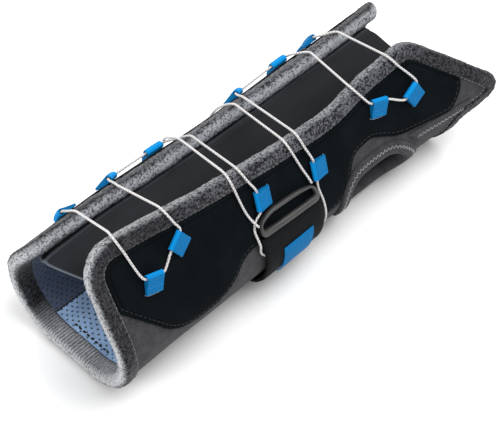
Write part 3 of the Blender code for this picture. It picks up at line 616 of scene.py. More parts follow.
def tongue_finish():
    """Smooth, slightly glossy tongue with a fine grain, painted highlights along its fold and its elbow end, and
    painted shade towards the near rim and in the strip by the far edge.
    """
    c = colours()
    f = Finish("smooth_tongue", 0.5, Sheen_Weight=0.01, Sheen_Roughness=0.3, Specular_IOR_Level=0.12)
    u, v = f.pattern()
    fine = f.grain(0.5 * MM, 2.0, 0.6)
    cloud = f.grain(26 * MM, 3.0, 0.6, (0.35, 1, 1))
    shade = f.blend(f.level(cloud, 0.3, 0.7), tinted(c.tongue, 0.8), tinted(c.tongue, 1.3))
    # Painted shade: darker towards the near rim
    shade = f.blend(f.level(v, -26, 4) * 0.7, shade, tinted(c.tongue, 0.2))
    # Painted shade: a near-black strip along the far edge, up to the fold
    shade = f.blend(1 - f.level(v, -29.9, -29.3), shade, tinted(c.tongue, 0.12))
    # Painted highlight: a pale line along the fold's ridge
    ridge_highlight = 1 - f.level(f.call("ABSOLUTE", v + 29.0), 0.15, 0.6)
    shade = f.blend(ridge_highlight * 0.85, shade, tinted(c.tongue, 5.0))
    # Painted highlight: a pale line along the elbow end's edge
    hem = f.node("ShaderNodeAttribute", {"attribute_name": "End_highlight"}, output="Fac")
    shade = f.blend(f.level(hem, 0.2, 0.8) * 0.9, shade, tinted(c.tongue, 10.0))
    roughness = 0.45 + cloud * 0.2
    return f.finish(shade, fine, 0.06 * MM, roughness)


def webbing_finish(name, colour, rib=0.95):
    """Woven webbing: cross ribs with a fine twill on them, and a painted highlight along the fold."""
    f = Finish(name, 0.75, Sheen_Weight=0.01, Specular_IOR_Level=0.1)
    u, v = f.pattern()
    ribs = f.call("SINE", u * (2 * math.pi / rib))
    twill = f.call("SINE", u * 6.6 + v * 9.0)
    fine = f.grain(0.35 * MM, 2.0)
    tone = f.level(ribs * 0.5 + twill * 0.18 + (fine - 0.5) * 0.9, -0.7, 0.7)
    shade = f.blend(tone, tinted(colour, 0.62), tinted(colour, 1.2))
    # Painted highlight: lighter within 1.8 mm of the fold
    shade = f.blend((1 - f.level(u, 0.3, 1.8)) * 0.5, shade, tinted(colour, 2.0))
    return f.finish(shade, ribs * 0.6 + twill * 0.2 + fine * 0.2, 0.16 * MM)


def elastic_finish():
    """Black elastic with fine ribs along its length."""
    c = colours()
    f = Finish("ribbed_elastic", 0.85, Sheen_Weight=0.01, Specular_IOR_Level=0.12)
    u, v = f.pattern()
    ribs = f.call("SINE", u * (2 * math.pi / 1.1))
    knots = f.call("SINE", v * (2 * math.pi / 0.7))
    fine = f.grain(0.35 * MM, 2.0)
    tone = f.level(ribs * 0.4 + knots * 0.12 + (fine - 0.5) * 0.6, -0.6, 0.6)
    shade = f.blend(tone, tinted(c.elastic, 0.7), tinted(c.elastic, 1.5))
    return f.finish(shade, ribs * 0.55 + knots * 0.15 + fine * 0.3, 0.18 * MM)


def lace_finish():
    """Braided lace: two ways of strands over each other."""
    c = colours()
    f = Finish("braided_lace", 0.45, Sheen_Weight=0.1, Specular_IOR_Level=0.6)
    u, v = f.pattern()
    way = f.call("SINE", u * 2 * math.pi * 2 + v * 3.4)
    back = f.call("SINE", u * 2 * math.pi * 2 - v * 3.4)
    strands = f.call("MAXIMUM", way, back)
    tone = f.level(strands, -0.25, 0.7)
    shade = f.blend(tone, tinted(c.lace, 0.55), tinted(c.lace, 1.1))
    return f.finish(shade, strands, 0.10 * MM)


def moulded_finish():
    """Dark grey moulded plastic with a spark-eroded grain, worn smooth at random."""
    c = colours()
    f = Finish("moulded_grey", 0.4, Specular_IOR_Level=0.55)
    grain = f.grain(0.28 * MM, 2.0, 0.6)
    wear = f.grain(9 * MM, 3.0)
    shade = f.blend(f.level(wear, 0.35, 0.7), tinted(c.moulded, 0.85), tinted(c.moulded, 1.2))
    return f.finish(shade, grain, 0.04 * MM, 0.32 + wear * 0.22)


def thread_finish(name, colour):
    """Twisted sewing thread."""
    f = Finish(name, 0.6, Sheen_Weight=0.1)
    twist = f.grain(0.25 * MM, 2.0)
    shade = f.blend(f.level(twist, 0.35, 0.65), tinted(colour, 0.7), tinted(colour, 1.25))
    return f.finish(shade, twist, 0.05 * MM)


def floor_finish():
    c = colours()
    f = Finish("pale_floor", 0.7)
    tone = f.grain(0.4, 2.0)
    shade = f.blend(tone, tinted(c.floor, 0.985), tuple(c.floor))
    return f.finish(shade)


def material(name, maker, *arguments):
    """A material that is made once and then shared."""
    return bpy.data.materials.get(name) or maker(*arguments)


# Cloth pieces

def add_piece(name, bm, finish, nodes=(), angle=50):
    """Turn a bmesh into a piece that rides on the brace and stands for its CAD nodes."""
    mesh = bpy.data.meshes.new(name)
    bm.to_mesh(mesh)
    bm.free()
    piece = bpy.data.objects.new(name, mesh)
    bpy.context.collection.objects.link(piece)
    piece.data.materials.append(finish)
    piece.data.shade_smooth()
    piece.data.set_sharp_from_angle(angle=math.radians(angle))
    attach(piece, "root")
    if nodes:
        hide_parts(*nodes)
    return piece


def prism(name, ring, low, high):
    """A closed flat solid over a ring: a helper that is used up by cuts."""
    bm = bmesh.new()
    face = bm.faces.new([bm.verts.new((x, a, low)) for x, a in ring])
    grown = bmesh.ops.extrude_face_region(bm, geom=[face])
    top = [part for part in grown["geom"] if isinstance(part, bmesh.types.BMVert)]
    bmesh.ops.translate(bm, verts=top, vec=(0, 0, high - low))
    bmesh.ops.recalc_face_normals(bm, faces=bm.faces)
    return helper(name, bm)


def helper(name, bm):
    mesh = bpy.data.meshes.new(name)
    bm.to_mesh(mesh)
    bm.free()
    piece = bpy.data.objects.new(name, mesh)
    bpy.context.collection.objects.link(piece)
    return piece


def slab(ring, low, high, step):
    """A flat sheet of small square faces that covers a ring, with a thickness."""
    points = np.array(ring)
    start, end = points.min(axis=0) - step, points.max(axis=0) + step
    count = [max(2, round(span / step)) for span in end - start]
    bm = bmesh.new()
    fit = Matrix.Translation((*(start + end) / 2, low)) @ Matrix.Diagonal((*(end - start) / 2, 1, 1))
    bmesh.ops.create_grid(bm, x_segments=count[0], y_segments=count[1], size=1, matrix=fit)
    grown = bmesh.ops.extrude_face_region(bm, geom=bm.faces[:])
    top = [part for part in grown["geom"] if isinstance(part, bmesh.types.BMVert)]
    bmesh.ops.translate(bm, verts=top, vec=(0, 0, high - low))
    bmesh.ops.recalc_face_normals(bm, faces=bm.faces)
    return helper("slab", bm)


def cut_cloth(ring, low, high, step, keep=(), holes=(), relief=None):
    """Cut a cloth in the flat and bend it: keep and holes are further rings that it is cut by.

    relief gives how far the upper face is moved, from the distance to the cloth's border.
    """
    deep = 20 * MM
    blank = slab(ring, low, high, step)
    cuts = [("INTERSECT", ring)] + [("INTERSECT", other) for other in keep]
    cuts += [("DIFFERENCE", other) for other in holes]
    tools = []
    for operation, outline in cuts:
        tool = prism("cut", outline, -deep, deep)
        modifier = blank.modifiers.new("Cut", "BOOLEAN")
        modifier.operation = operation
        modifier.solver = "EXACT"
        modifier.object = tool
        tools.append(tool)
    view = bpy.context.evaluated_depsgraph_get()
    bm = bmesh.new()
    bm.from_mesh(blank.evaluated_get(view).to_mesh())
    for tool in [blank, *tools]:
        bpy.data.objects.remove(tool)
    bmesh.ops.remove_doubles(bm, verts=bm.verts, dist=0.02 * MM)
    bmesh.ops.dissolve_degenerate(bm, edges=bm.edges, dist=0.01 * MM)
    bmesh.ops.triangulate(bm, faces=[face for face in bm.faces if len(face.verts) > 4])
    coords = np.array([vert.co for vert in bm.verts])
    border = np.full(len(coords), 1e9)
    for _, outline in cuts:
        border = np.minimum(border, border_distance(outline, coords[:, 0], coords[:, 1]))
    middle = (low + high) / 2
    if relief is not None:
        moved = relief(border, coords[:, 0], coords[:, 1])
        coords[:, 2] += np.where(coords[:, 2] > middle, moved, 0)
    return laid(bm, coords, border)


def laid(bm, coords, border=None):
    """Write the pattern coordinates as a UV map and lay the mesh round the arm."""
    uv = bm.loops.layers.uv.new("Pattern")
    bm.verts.index_update()
    for face in bm.faces:
        for loop in face.loops:
            loop[uv].uv = coords[loop.vert.index][:2]
    if border is not None:
        layer = bm.verts.layers.float.new("Border")
        for vert, distance in zip(bm.verts, border):
            vert[layer] = distance
    for vert, place in zip(bm.verts, bent(coords)):
        vert.co = place
    bmesh.ops.recalc_face_normals(bm, faces=bm.faces)
    return bm


def soft_edge(depth, width):
    """Relief of a cloth whose border is pressed down, with a sewn groove inside it."""
    def relief(border, x, a):
        share = np.clip(border / width, 0, 1)
        groove = np.exp(-((border - 2.0 * MM) / (0.8 * MM)) ** 2)
        return -depth * (1 - np.sqrt(1 - (1 - share) ** 2)) - 0.25 * MM * groove
    return relief


# Plush bindings

def binding_profile(steps=7):
    """Closed section of a plush binding: distance in from the cut edge, height."""
    top = CLEAR + BINDING_PLY
    foot = -WALL - CLEAR - BINDING_PLY
    centre = -WALL / 2
    roll = []
    for k in range(2 * steps + 1):
        turn = math.pi * (k / steps - 1) / 2
        reach = (BINDING_REACH + 0.4 * MM) * math.cos(turn)
        height = centre + (top - centre) * -math.sin(turn)
        roll.append((0.5 * MM - reach, height))
    upper = [(BINDING_WIDTH, CLEAR), (BINDING_WIDTH, top - 0.7 * MM)]
    upper += [(BINDING_WIDTH * share, top - 0.25 * MM * abs(2 * share - 1.1)) for share in (0.92, 0.72, 0.5, 0.3)]
    lower = [(INNER_WIDTH * share, foot + 0.25 * MM * abs(2 * share - 1.1)) for share in (0.25, 0.45, 0.65, 0.85)]
    lower += [(INNER_WIDTH, foot + 0.6 * MM), (INNER_WIDTH, -WALL - CLEAR)]
    return upper + roll + lower + [(-CLEAR, -WALL - CLEAR), (-CLEAR, CLEAR)]


def bound_edge(name, ring, side, nodes, finish, pile):
    """Sweep the binding's section round a cut edge and rough it up with tufts as high as pile."""
    profile = binding_profile()
    ring = softened(resampled(ring, sizes().plush_grid), 6)
    rows = [inset(ring, side * s) for s, _ in profile]
    bm = bmesh.new()
    across, along = len(profile), len(ring)
    bmesh.ops.create_grid(bm, x_segments=across, y_segments=along, size=1)
    coords, marks, sheen_rims, ribs, lit = [], [], [], [], []
    steps = np.linalg.norm(np.diff(ring, axis=0), axis=1)
    lengths = np.concatenate(([0], np.cumsum(steps)))
    for vert in bm.verts:
        i = round((vert.co.x + 1) / 2 * across) % across
        j = round((vert.co.y + 1) / 2 * along) % along
        coords.append((*rows[i][j], profile[i][1]))
        marks.append(1.0 if 1 <= i <= across - 4 else 0.0)
        x, a = rows[i][j]
        # Painted sheen on the rolled edge: strongest at the elbow end, and at least 0.8 along the far rim
        share = np.interp(x / LENGTH, (0, 0.08, 0.3, 0.8, 0.9), (1, 0.65, 0.4, 0.3, 0.1))
        roll = min(max(-profile[i][0] / (1.7 * MM), 0), 1) ** 2
        sheen_rims.append(roll * (share if a > -SEAM_PLACE else max(share, 0.8)))
        ribs.append(lengths[j] / MM)
        # Painted light on the inner face at the elbow end, fading out towards both rims
        inner = profile[i][1] < -WALL and x < 20 * MM
        lit.append(inner * np.interp(a / MM, (-34, -12, 50, 60), (0, 0.9, 1, 0)))
    for label, values in (("Tuft", marks), ("Sheen_rim", sheen_rims), ("Rib", ribs), ("Lit", lit)):
        layer = bm.verts.layers.float.new(label)
        for vert, value in zip(bm.verts, values):
            vert[layer] = value
    layer = bm.verts.layers.float["Tuft"]
    for vert, place in zip(bm.verts, coords):
        vert.co = place
    bmesh.ops.remove_doubles(bm, verts=bm.verts, dist=0.001 * MM)
    coords = np.array([vert.co for vert in bm.verts])
    laid(bm, coords)
    bm.normal_update()
    for vert in bm.verts:
        if pile and vert[layer] > 0.5:
            tuft = noise.noise(vert.co / (1.5 * MM)) + 0.6 * noise.noise(vert.co / (0.8 * MM))
            lump = noise.noise(vert.co / (9 * MM))
            vert.co += vert.normal * pile * (tuft + 0.8 * lump)
    return add_piece(name, bm, finish, nodes, 80)


# Stitches

def stitch_line(seam, line, height, closed=False, pitch=None, zigzag=0.0, thick=1.0):
    """Add stitches along a line of pattern points to a seam, side to side by zigzag where given."""
    step = pitch or sizes().stitch * 1.5
    marks = resampled(line, step, closed)
    ends = np.roll(marks, -1, axis=0) if closed else marks[1:]
    for k, (start, end) in enumerate(zip(marks, ends)):
        way = end - start
        reach = np.linalg.norm(way)
        way = way / reach
        across = np.array((-way[1], way[0]))
        swing = zigzag * (1 if k % 2 else -1)
        first = start + across * swing
        last = end - across * swing if zigzag else start + way * min(sizes().stitch, reach)
        one_stitch(seam, first, last, height, thick)


def one_stitch(seam, first, last, height, thick=1.0):
    """Add a short sewn thread between two pattern points, dipping in at its ends."""
    start, end = bent([(*first, height), (*last, height)])
    way = Vector(end - start)
    out = Vector(bent((*(np.array(first) + last) / 2, height + 1 * MM))[0] - (start + end) / 2)
    side = way.cross(out).normalized()
    turn = Matrix((way.normalized(), side, way.normalized().cross(side))).transposed().to_4x4()
    half = thick * sizes().thread / 2
    size = Matrix.Diagonal((way.length * 0.56, half, sizes().thread / 2, 1))
    place = Matrix.Translation(Vector((start + end) / 2)) @ turn @ size
    seam.append(place @ Matrix.Rotation(math.pi / 2, 4, "Y"))


def sewn(places, batch=40):
    """The threads of stitches laid at places, made in small batches and joined."""
    whole = bmesh.new()
    for start in range(0, len(places), batch):
        bm = bmesh.new()
        for place in places[start:start + batch]:
            bmesh.ops.create_uvsphere(bm, u_segments=6, v_segments=4, radius=1, matrix=place)
        mesh = bpy.data.meshes.new("batch")
        bm.to_mesh(mesh)
        bm.free()
        whole.from_mesh(mesh)
        bpy.data.meshes.remove(mesh)
    return whole


# Cords

def loop_places():
    """Each loop's name, its fold's middle in the pattern and its way."""
    found = []
    for side, start, unit, table in (
        (1, 0, LENGTH, NEAR_LOOPS),
        (1, STRAP_PLACE, STRAP_WIDTH, STRAP_LOOPS),
        (-1, 0, LENGTH, FAR_LOOPS),
    ):
        for name, share, below, way in table:
            x = start + share * unit
            found.append((name, x, side * (rim(side, x) - below * WEB_LENGTH), way))
    return found


def eye_points():
    """The pattern points of each loop's eye, mouth to mouth."""
    outer = LACE / 2 + EASE + WEB_PLY
    height = CLEAR + PANEL + CLEAR + outer
    eyes = {}
    for name, x, a, way in loop_places():
        cos, sin = math.cos(math.radians(way)), math.sin(math.radians(way))
        centre = Vector((x + outer * cos, a + outer * sin, height))
        reach = Vector((-sin, cos, 0)) * (WEB_WIDTH / 2 + MOUTH)
        eyes[name] = [centre + reach * k for k in (-1, -0.5, 0, 0.5, 1)]
    return eyes


def over_rim(side, x, rise, toward):
    """Pattern points of a cord that comes up a wall and goes over its bound rim into the gap.

    It runs straight from the point toward on the wall, and crosses the rim's edge at x.
    """
    lean = (toward.x - x) / max(rim(side, toward.x) - abs(toward.y), BINDING_WIDTH)
    thick = LACE / 2 + CLEAR
    top = CLEAR + BINDING_PLY + thick + 0.1 * MM
    points = [(BINDING_WIDTH - 1.5 * MM, top + rise)]
    if side > 0:
        out = BINDING_REACH + thick + 0.15 * MM
        points += [(0.8 * MM, top), (-0.7 * out, 0.45 * top), (-out, -0.35 * WALL), (-out, -0.95 * WALL)]
    else:
        points += [(1.5 * MM, top + rise), (-BINDING_REACH, top - 0.2 * MM + 0.8 * rise)]
    places = [(x + lean * below, below, h) for below, h in points]
    return [Vector((at, side * (rim(side, at) - below), h)) for at, below, h in places]


def crest(side, x):
    """The pattern point on the edge of a rim."""
    return Vector((x, side * rim(side, x), 0))


def reached(stop, eyes, start):
    """The pattern point of a stop that a cord from start comes to first."""
    if isinstance(stop, str):
        return min(eyes[stop][0], eyes[stop][-1], key=lambda mouth: (mouth - start).length)
    return Vector(stop)


def runs(stops, eyes):
    """Split a cord's stops into runs of pattern points, each on one wall, joined across the gap.

    A stop is a loop's name, a crossing of a rim (side, x, rise) or a pattern point.
    """
    found = [[]]
    for i, stop in enumerate(stops):
        run = found[-1]
        if isinstance(stop, str):
            way = eyes[stop]
            half = len(way) // 2
            start = run[-1] if run else crest(*stops[1][:2])
            if reached(stop, eyes, start) != way[0]:
                way = way[::-1]
            if i == 0:
                run += way[half::-1]
            else:
                run += way if i < len(stops) - 1 else way[:half + 1]
        elif isinstance(stop[0], int):
            toward = run[-1] if run else reached(stops[i + 1], eyes, crest(*stop[:2]))
            points = over_rim(*stop, toward)
            across = stops[i + 1] if run else stops[i - 1]
            for point in points[2:]:
                point.x += (across[1] - stop[1]) / (42 * MM) * (points[1].z - point.z)
            if run:
                run += points
                found.append([])
            else:
                run += points[::-1]
        else:
            run.append(Vector(stop))
    return found


def curve_through(points, pieces=10):
    """Points on a smooth curve (centripetal) through a route's points."""
    ends = [2 * points[0] - points[1], *points, 2 * points[-1] - points[-2]]
    fine = []
    for p0, p1, p2, p3 in zip(ends, ends[1:], ends[2:], ends[3:]):
        t1 = max((p1 - p0).length, 0.0001) ** 0.5
        t2 = t1 + max((p2 - p1).length, 0.0001) ** 0.5
        t3 = t2 + max((p3 - p2).length, 0.0001) ** 0.5
        for k in range(pieces):
            t = t1 + (t2 - t1) * k / pieces
            a1 = p0 * ((t1 - t) / t1) + p1 * (t / t1)
            a2 = p1 * ((t2 - t) / (t2 - t1)) + p2 * ((t - t1) / (t2 - t1))
            a3 = p2 * ((t3 - t) / (t3 - t2)) + p3 * ((t - t2) / (t3 - t2))
            b1 = a1 * ((t2 - t) / t2) + a2 * (t / t2)
            b2 = a2 * ((t3 - t) / (t3 - t1)) + a3 * ((t - t1) / (t3 - t1))
            fine.append(b1 * ((t2 - t) / (t2 - t1)) + b2 * ((t - t1) / (t2 - t1)))
    fine.append(points[-1])
    return fine


def cord_routes():
    """The stops of the two laces and the pull cord, as the solids have them."""
    left = STRAP_PLACE - STRAP_WIDTH / 2
    right = STRAP_PLACE + STRAP_WIDTH / 2
    low = CLEAR + LACE / 2 + 0.15 * MM
    high = low + PANEL + CLEAR
    over = high + LACE + 2 * CLEAR
    tuck = STRAP_RISE[1] + 4.5 * MM
    hidden = STRAP_TOP - 12 * MM
    beside = LACE / 2 + 3 * CLEAR
    top = STRAP_TOP + HANDLE_HEIGHT
    lace_proximal = (
        "far_loop_1",
        (-1, 0.135 * LENGTH, 0),
        (1, 0.079 * LENGTH, 0),
        "near_loop_1",
        "near_loop_2",
        (1, 0.194 * LENGTH, 0),
        (-1, 0.230 * LENGTH, 0),
        "far_loop_2",
        "far_loop_3",
        (-1, 0.412 * LENGTH, 0),
        (1, 0.368 * LENGTH, 0),
        "near_loop_3",
        (left + 1.2 * MM, top - 0.6 * MM, high),
        (left - beside, top - 4 * MM, high),
        (left - beside, STRAP_TOP + 1 * MM, high),
        (left - beside, STRAP_TOP - 1.5 * MM, high),
        (left - beside, STRAP_TOP - 5.5 * MM, low),
        (left + 1.5 * MM, STRAP_TOP - 9.5 * MM, low),
        (left + 6 * MM, hidden, low),
        (left + 11 * MM, hidden, low),
        (STRAP_PLACE - CLEAR, hidden, low),
    )
    lace_distal = (
        (STRAP_PLACE + CLEAR, tuck, low),
        (right - 10 * MM, tuck, low),
        (right - 4 * MM, tuck, low),
        (right + beside, tuck + 6 * MM, low),
        (right + beside + 0.4 * MM, tuck + 9.5 * MM, low),
        (right + beside + 0.4 * MM, STRAP_TOP - 13 * MM, high),
        (right + beside + 0.4 * MM, STRAP_TOP - 2 * MM, high),
        (right + beside, STRAP_TOP + 4 * MM, high),
        "near_loop_4",
        (1, 0.513 * LENGTH, 0),
        (-1, 0.562 * LENGTH, 0),
        "far_loop_4",
        "far_loop_5",
        (-1, 0.737 * LENGTH, 0),
        (1, 0.675 * LENGTH, 0),
        "near_loop_5",
        "near_loop_6",
        (1, 0.777 * LENGTH, 0),
        (-1, 0.816 * LENGTH, 0),
        "far_loop_6",
    )
    hem = -STRAP_FOOT + HEM_WIDTH / 2
    bore = CLEAR + HEM_PLY / 2
    pull_cord = (
        (left + 0.2 * MM, top - 3.3 * MM, over),
        (left - 0.9 * MM, top - 1.2 * MM, over),
        (left - 2.4 * MM, top + 5 * MM, high),
        (1, 0.339 * LENGTH, 0),
        (-1, 0.392 * LENGTH, LACE + 2 * CLEAR),
        (left + 8.4 * MM, hem - 34 * MM, over + 0.6 * MM),
        (left + 7.9 * MM, hem - 28 * MM, high + 0.3 * MM),
        (left + 6 * MM, hem - 21 * MM, high),
        (left - 1 * MM, hem - 13 * MM, high),
        (left - 3.5 * MM, hem - 6 * MM, bore),
        (left - 2.5 * MM, hem - 1 * MM, bore),
        (left, hem, bore),
        (left + 5 * MM, hem, bore),
        (STRAP_PLACE, hem, bore),
        (right - 5 * MM, hem, bore),
        (right, hem, bore),
        (right + 2.5 * MM, hem - 1.2 * MM, bore),
        (right + 3.2 * MM, hem - 7 * MM, bore),
        (right + 3 * MM, hem - 14 * MM, high),
        (right + 3.6 * MM, hem - 30 * MM, high),
        (-1, 0.534 * LENGTH, 0),
        (1, 0.483 * LENGTH, 0),
        (right - 3.6 * MM, top + 6 * MM, high),
        (right - 2.2 * MM, top - 1 * MM, high + 1 * MM),
        (right - 1.9 * MM, top - 3 * MM, high + 1 * MM),
    )
    return {"lace_proximal": lace_proximal, "lace_distal": lace_distal, "pull_cord": pull_cord}


def tube(route, diameter, sides=12):
    """A round tube along a line of points, from a grid rolled up and closed at both ends."""
    route = np.array(route)
    ways = np.gradient(route, axis=0)
    ways /= np.linalg.norm(ways, axis=1)[:, None]
    side = Vector(ways[0]).orthogonal().normalized()
    frames = []
    for way in ways:
        side = (side - Vector(way) * side.dot(Vector(way))).normalized()
        frames.append((np.array(side), np.cross(way, side)))
    runs_along = np.concatenate(([0], np.cumsum(np.linalg.norm(np.diff(route, axis=0), axis=1))))
    bm = bmesh.new()
    along = len(route) - 1
    bmesh.ops.create_grid(bm, x_segments=sides, y_segments=along, size=1)
    uv = bm.loops.layers.uv.new("Pattern")
    for face in bm.faces:
        for loop in face.loops:
            j = round((loop.vert.co.y + 1) / 2 * along)
            loop[uv].uv = ((loop.vert.co.x + 1) / 2 * MM, runs_along[j])
    for vert in bm.verts:
        turn = (vert.co.x + 1) * math.pi
        j = round((vert.co.y + 1) / 2 * along)
        first, second = frames[j]
        vert.co = route[j] + (first * math.cos(turn) + second * math.sin(turn)) * diameter / 2
    bmesh.ops.remove_doubles(bm, verts=bm.verts, dist=0.001 * MM)
    bmesh.ops.holes_fill(bm, edges=[edge for edge in bm.edges if edge.is_boundary], sides=0)
    bmesh.ops.recalc_face_normals(bm, faces=bm.faces)
    return bm


# Operators

class BRACE_OT_sleeve(bpy.types.Operator):
    """The padded sleeve with its brushed outer face and the hole for the thumb"""
    bl_idname = "brace.sleeve"
    bl_label = "Padded sleeve"

    def execute(self, context):
        edge, thumb = blank_outline(), rounded(scaled(THUMB))
        bm = cut_cloth(edge, -WALL, 0, sizes().cloth_grid, holes=[thumb])
        piece = add_piece("padded_sleeve", bm, material("brushed_knit", knit_finish), ["sleeve"])
        return {"FINISHED"}


class BRACE_OT_lining(bpy.types.Operator):
    """The perforated lining: a painted-light copy on the base and a painted-shade copy on the far side, with the seam
    between them
    """
    bl_idname = "brace.lining"
    bl_label = "Lining"

    def execute(self, context):
        c = colours()
        top = -WALL - CLEAR
        field = shrunk(softened(resampled(blank_outline(), 1 * MM), 6), INNER_WIDTH + 0.2 * MM)
        thumb = shrunk(rounded(scaled(THUMB)), -INNER_WIDTH - 0.2 * MM)
        for name, low, high, look, holes, colour, depth in (
            # The far side gets the painted-shade copy of the lining, the base the painted-light copy
            ("lining_side", -2 * FAR_GIRTH, -SEAM_PLACE - 0.2 * MM, "lining_shade", [], c.lining_shaded, 0.75),
            ("lining_base", -SEAM_PLACE + 0.2 * MM, 2 * NEAR_GIRTH, "lining", [thumb], c.lining_lit, 0.85),
        ):
            band = ((-LENGTH, low), (2 * LENGTH, low), (2 * LENGTH, high), (-LENGTH, high))
            bm = cut_cloth(field, top - LINING, top, 2.4 * MM, keep=[band], holes=holes)
            finish = material(look + "_mesh", lining_finish, look + "_mesh", tuple(colour), depth)
            piece = add_piece(name + "_mesh", bm, finish, [name])
            declare_cloth(piece)
        return {"FINISHED"}


def declare_cloth(piece):
    """Read a cloth piece's pattern marks from its UV map; nothing further is done with them."""
    marks = np.empty(2 * len(piece.data.loops))
    piece.data.uv_layers["Pattern"].data.foreach_get("uv", marks)
    marks = marks.reshape(-1, 2)


class BRACE_OT_panels(bpy.types.Operator):
    """The dark velour panels, with their sewn borders, and the tape along the thumb side"""
    bl_idname = "brace.panels"
    bl_label = "Velour panels"

    def execute(self, context):
        edge = softened(resampled(blank_outline(), 1 * MM), 6)
        field = shrunk(edge, MARGIN)
        thumb = shrunk(rounded(scaled(THUMB)), -MARGIN)
        velour = material("dark_velour", velour_finish)
        for name, table, holes in (("near_panel", NEAR_PANEL, [thumb]), ("far_panel", FAR_PANEL, [])):
            ring = rounded(scaled(table))
            bm = cut_cloth(ring, CLEAR, CLEAR + PANEL, 1.5 * MM, [field], holes, soft_edge(0.8 * MM, 1.4 * MM))
            piece = add_piece(name + "_velour", bm, velour, [name])
            declare_cloth(piece)
        tape = rounded(scaled(SEAM_TAPE))
        bm = cut_cloth(tape, CLEAR, CLEAR + TAPE, 1.2 * MM, [field], (), soft_edge(0.5 * MM, 1.0 * MM))
        add_piece("seam_tape_knit", bm, material("brushed_knit", knit_finish), ["seam_tape"])
        return {"FINISHED"}


class BRACE_OT_bindings(bpy.types.Operator):
    """The plush bindings round the cut edge and the thumb hole"""
    bl_idname = "brace.bindings"
    bl_label = "Plush bindings"

    def execute(self, context):
        plush = material("plush_pile", plush_finish)
        bound_edge("plush_edge", blank_outline(), 1, ["edge_binding"], plush, sizes().pile)
        knit = material("brushed_knit", knit_finish)
        bound_edge("knit_thumb", rounded(scaled(THUMB)), -1, ["thumb_binding"], knit, 0.1 * sizes().pile)
        return {"FINISHED"}


def strap_lift(a):
    """Height of the strap's underside: it rises over the lace and the near panel."""
    start, end = STRAP_RISE
    share = np.clip((a - start) / (end - start), 0, 1)
    return share * (CLEAR + LACE + CLEAR)


class BRACE_OT_strap(bpy.types.Operator):
    """The elastic strap with its hem, and the blue tab on it"""
    bl_idname = "brace.strap"
    bl_label = "Strap and tab"

    def execute(self, context):
        left = STRAP_PLACE - STRAP_WIDTH / 2
        right = STRAP_PLACE + STRAP_WIDTH / 2
        foot = -STRAP_FOOT
        ring = [(left, foot), (right, foot), (right, STRAP_TOP - STRAP_SLANT), (left, STRAP_TOP + STRAP_SLANT)]
        hem = HEM_WIDTH

        def relief(border, x, a):
            rounding = -0.5 * MM * (1 - np.clip(border / (1.2 * MM), 0, 1)) ** 2
            tunnel = np.clip(1 - ((a - foot - hem / 2) / (hem / 2)) ** 2, 0, 1) ** 0.5
            swell = (HEM_PLY - STRAP_PLY) * np.where(a < foot + hem, tunnel, 0)
            return rounding + swell

        bm = cut_strip(ring, CLEAR, CLEAR + STRAP_PLY, 1.3 * MM, relief, strap_lift)
        elastic = material("ribbed_elastic", elastic_finish)
        piece = add_piece("elastic_strap", bm, elastic, ["wrist_strap"])
        declare_cloth(piece)
        middle = STRAP_PLACE + TAB_SHIFT
        half = TAB_WIDTH / 2
        foot = TAB_TOP - TAB_HEIGHT
        ring = [(middle - half, foot), (middle + half, foot), (middle + half, TAB_TOP), (middle - half, TAB_TOP)]
        base = STRAP_PLY + 2 * CLEAR
        bm = cut_strip(ring, base, base + TAB_PLY, 0.9 * MM, soft_edge(0.35 * MM, 0.8 * MM), strap_lift)
        webbing = material("blue_webbing", webbing_finish, "blue_webbing", tuple(colours().webbing))
        add_piece("blue_tab", bm, webbing, ["strap_tab"])
        return {"FINISHED"}


def cut_strip(ring, low, high, step, relief, lift):
    """Cut a cloth in the flat like cut_cloth, and raise it by lift before it is bent."""
    blank = slab(ring, low, high, step)
    tool = prism("cut", ring, -20 * MM, 20 * MM)
    modifier = blank.modifiers.new("Cut", "BOOLEAN")
    modifier.operation = "INTERSECT"
    modifier.solver = "EXACT"
    modifier.object = tool
    view = bpy.context.evaluated_depsgraph_get()
    bm = bmesh.new()
    bm.from_mesh(blank.evaluated_get(view).to_mesh())
    bpy.data.objects.remove(tool)
    bpy.data.objects.remove(blank)
    bmesh.ops.remove_doubles(bm, verts=bm.verts, dist=0.02 * MM)
    coords = np.array([vert.co for vert in bm.verts])
    border = border_distance(ring, coords[:, 0], coords[:, 1])
    upper = coords[:, 2] > (low + high) / 2
    coords[:, 2] += np.where(upper, relief(border, coords[:, 0], coords[:, 1]), 0) + lift(coords[:, 1])
    return laid(bm, coords, border)


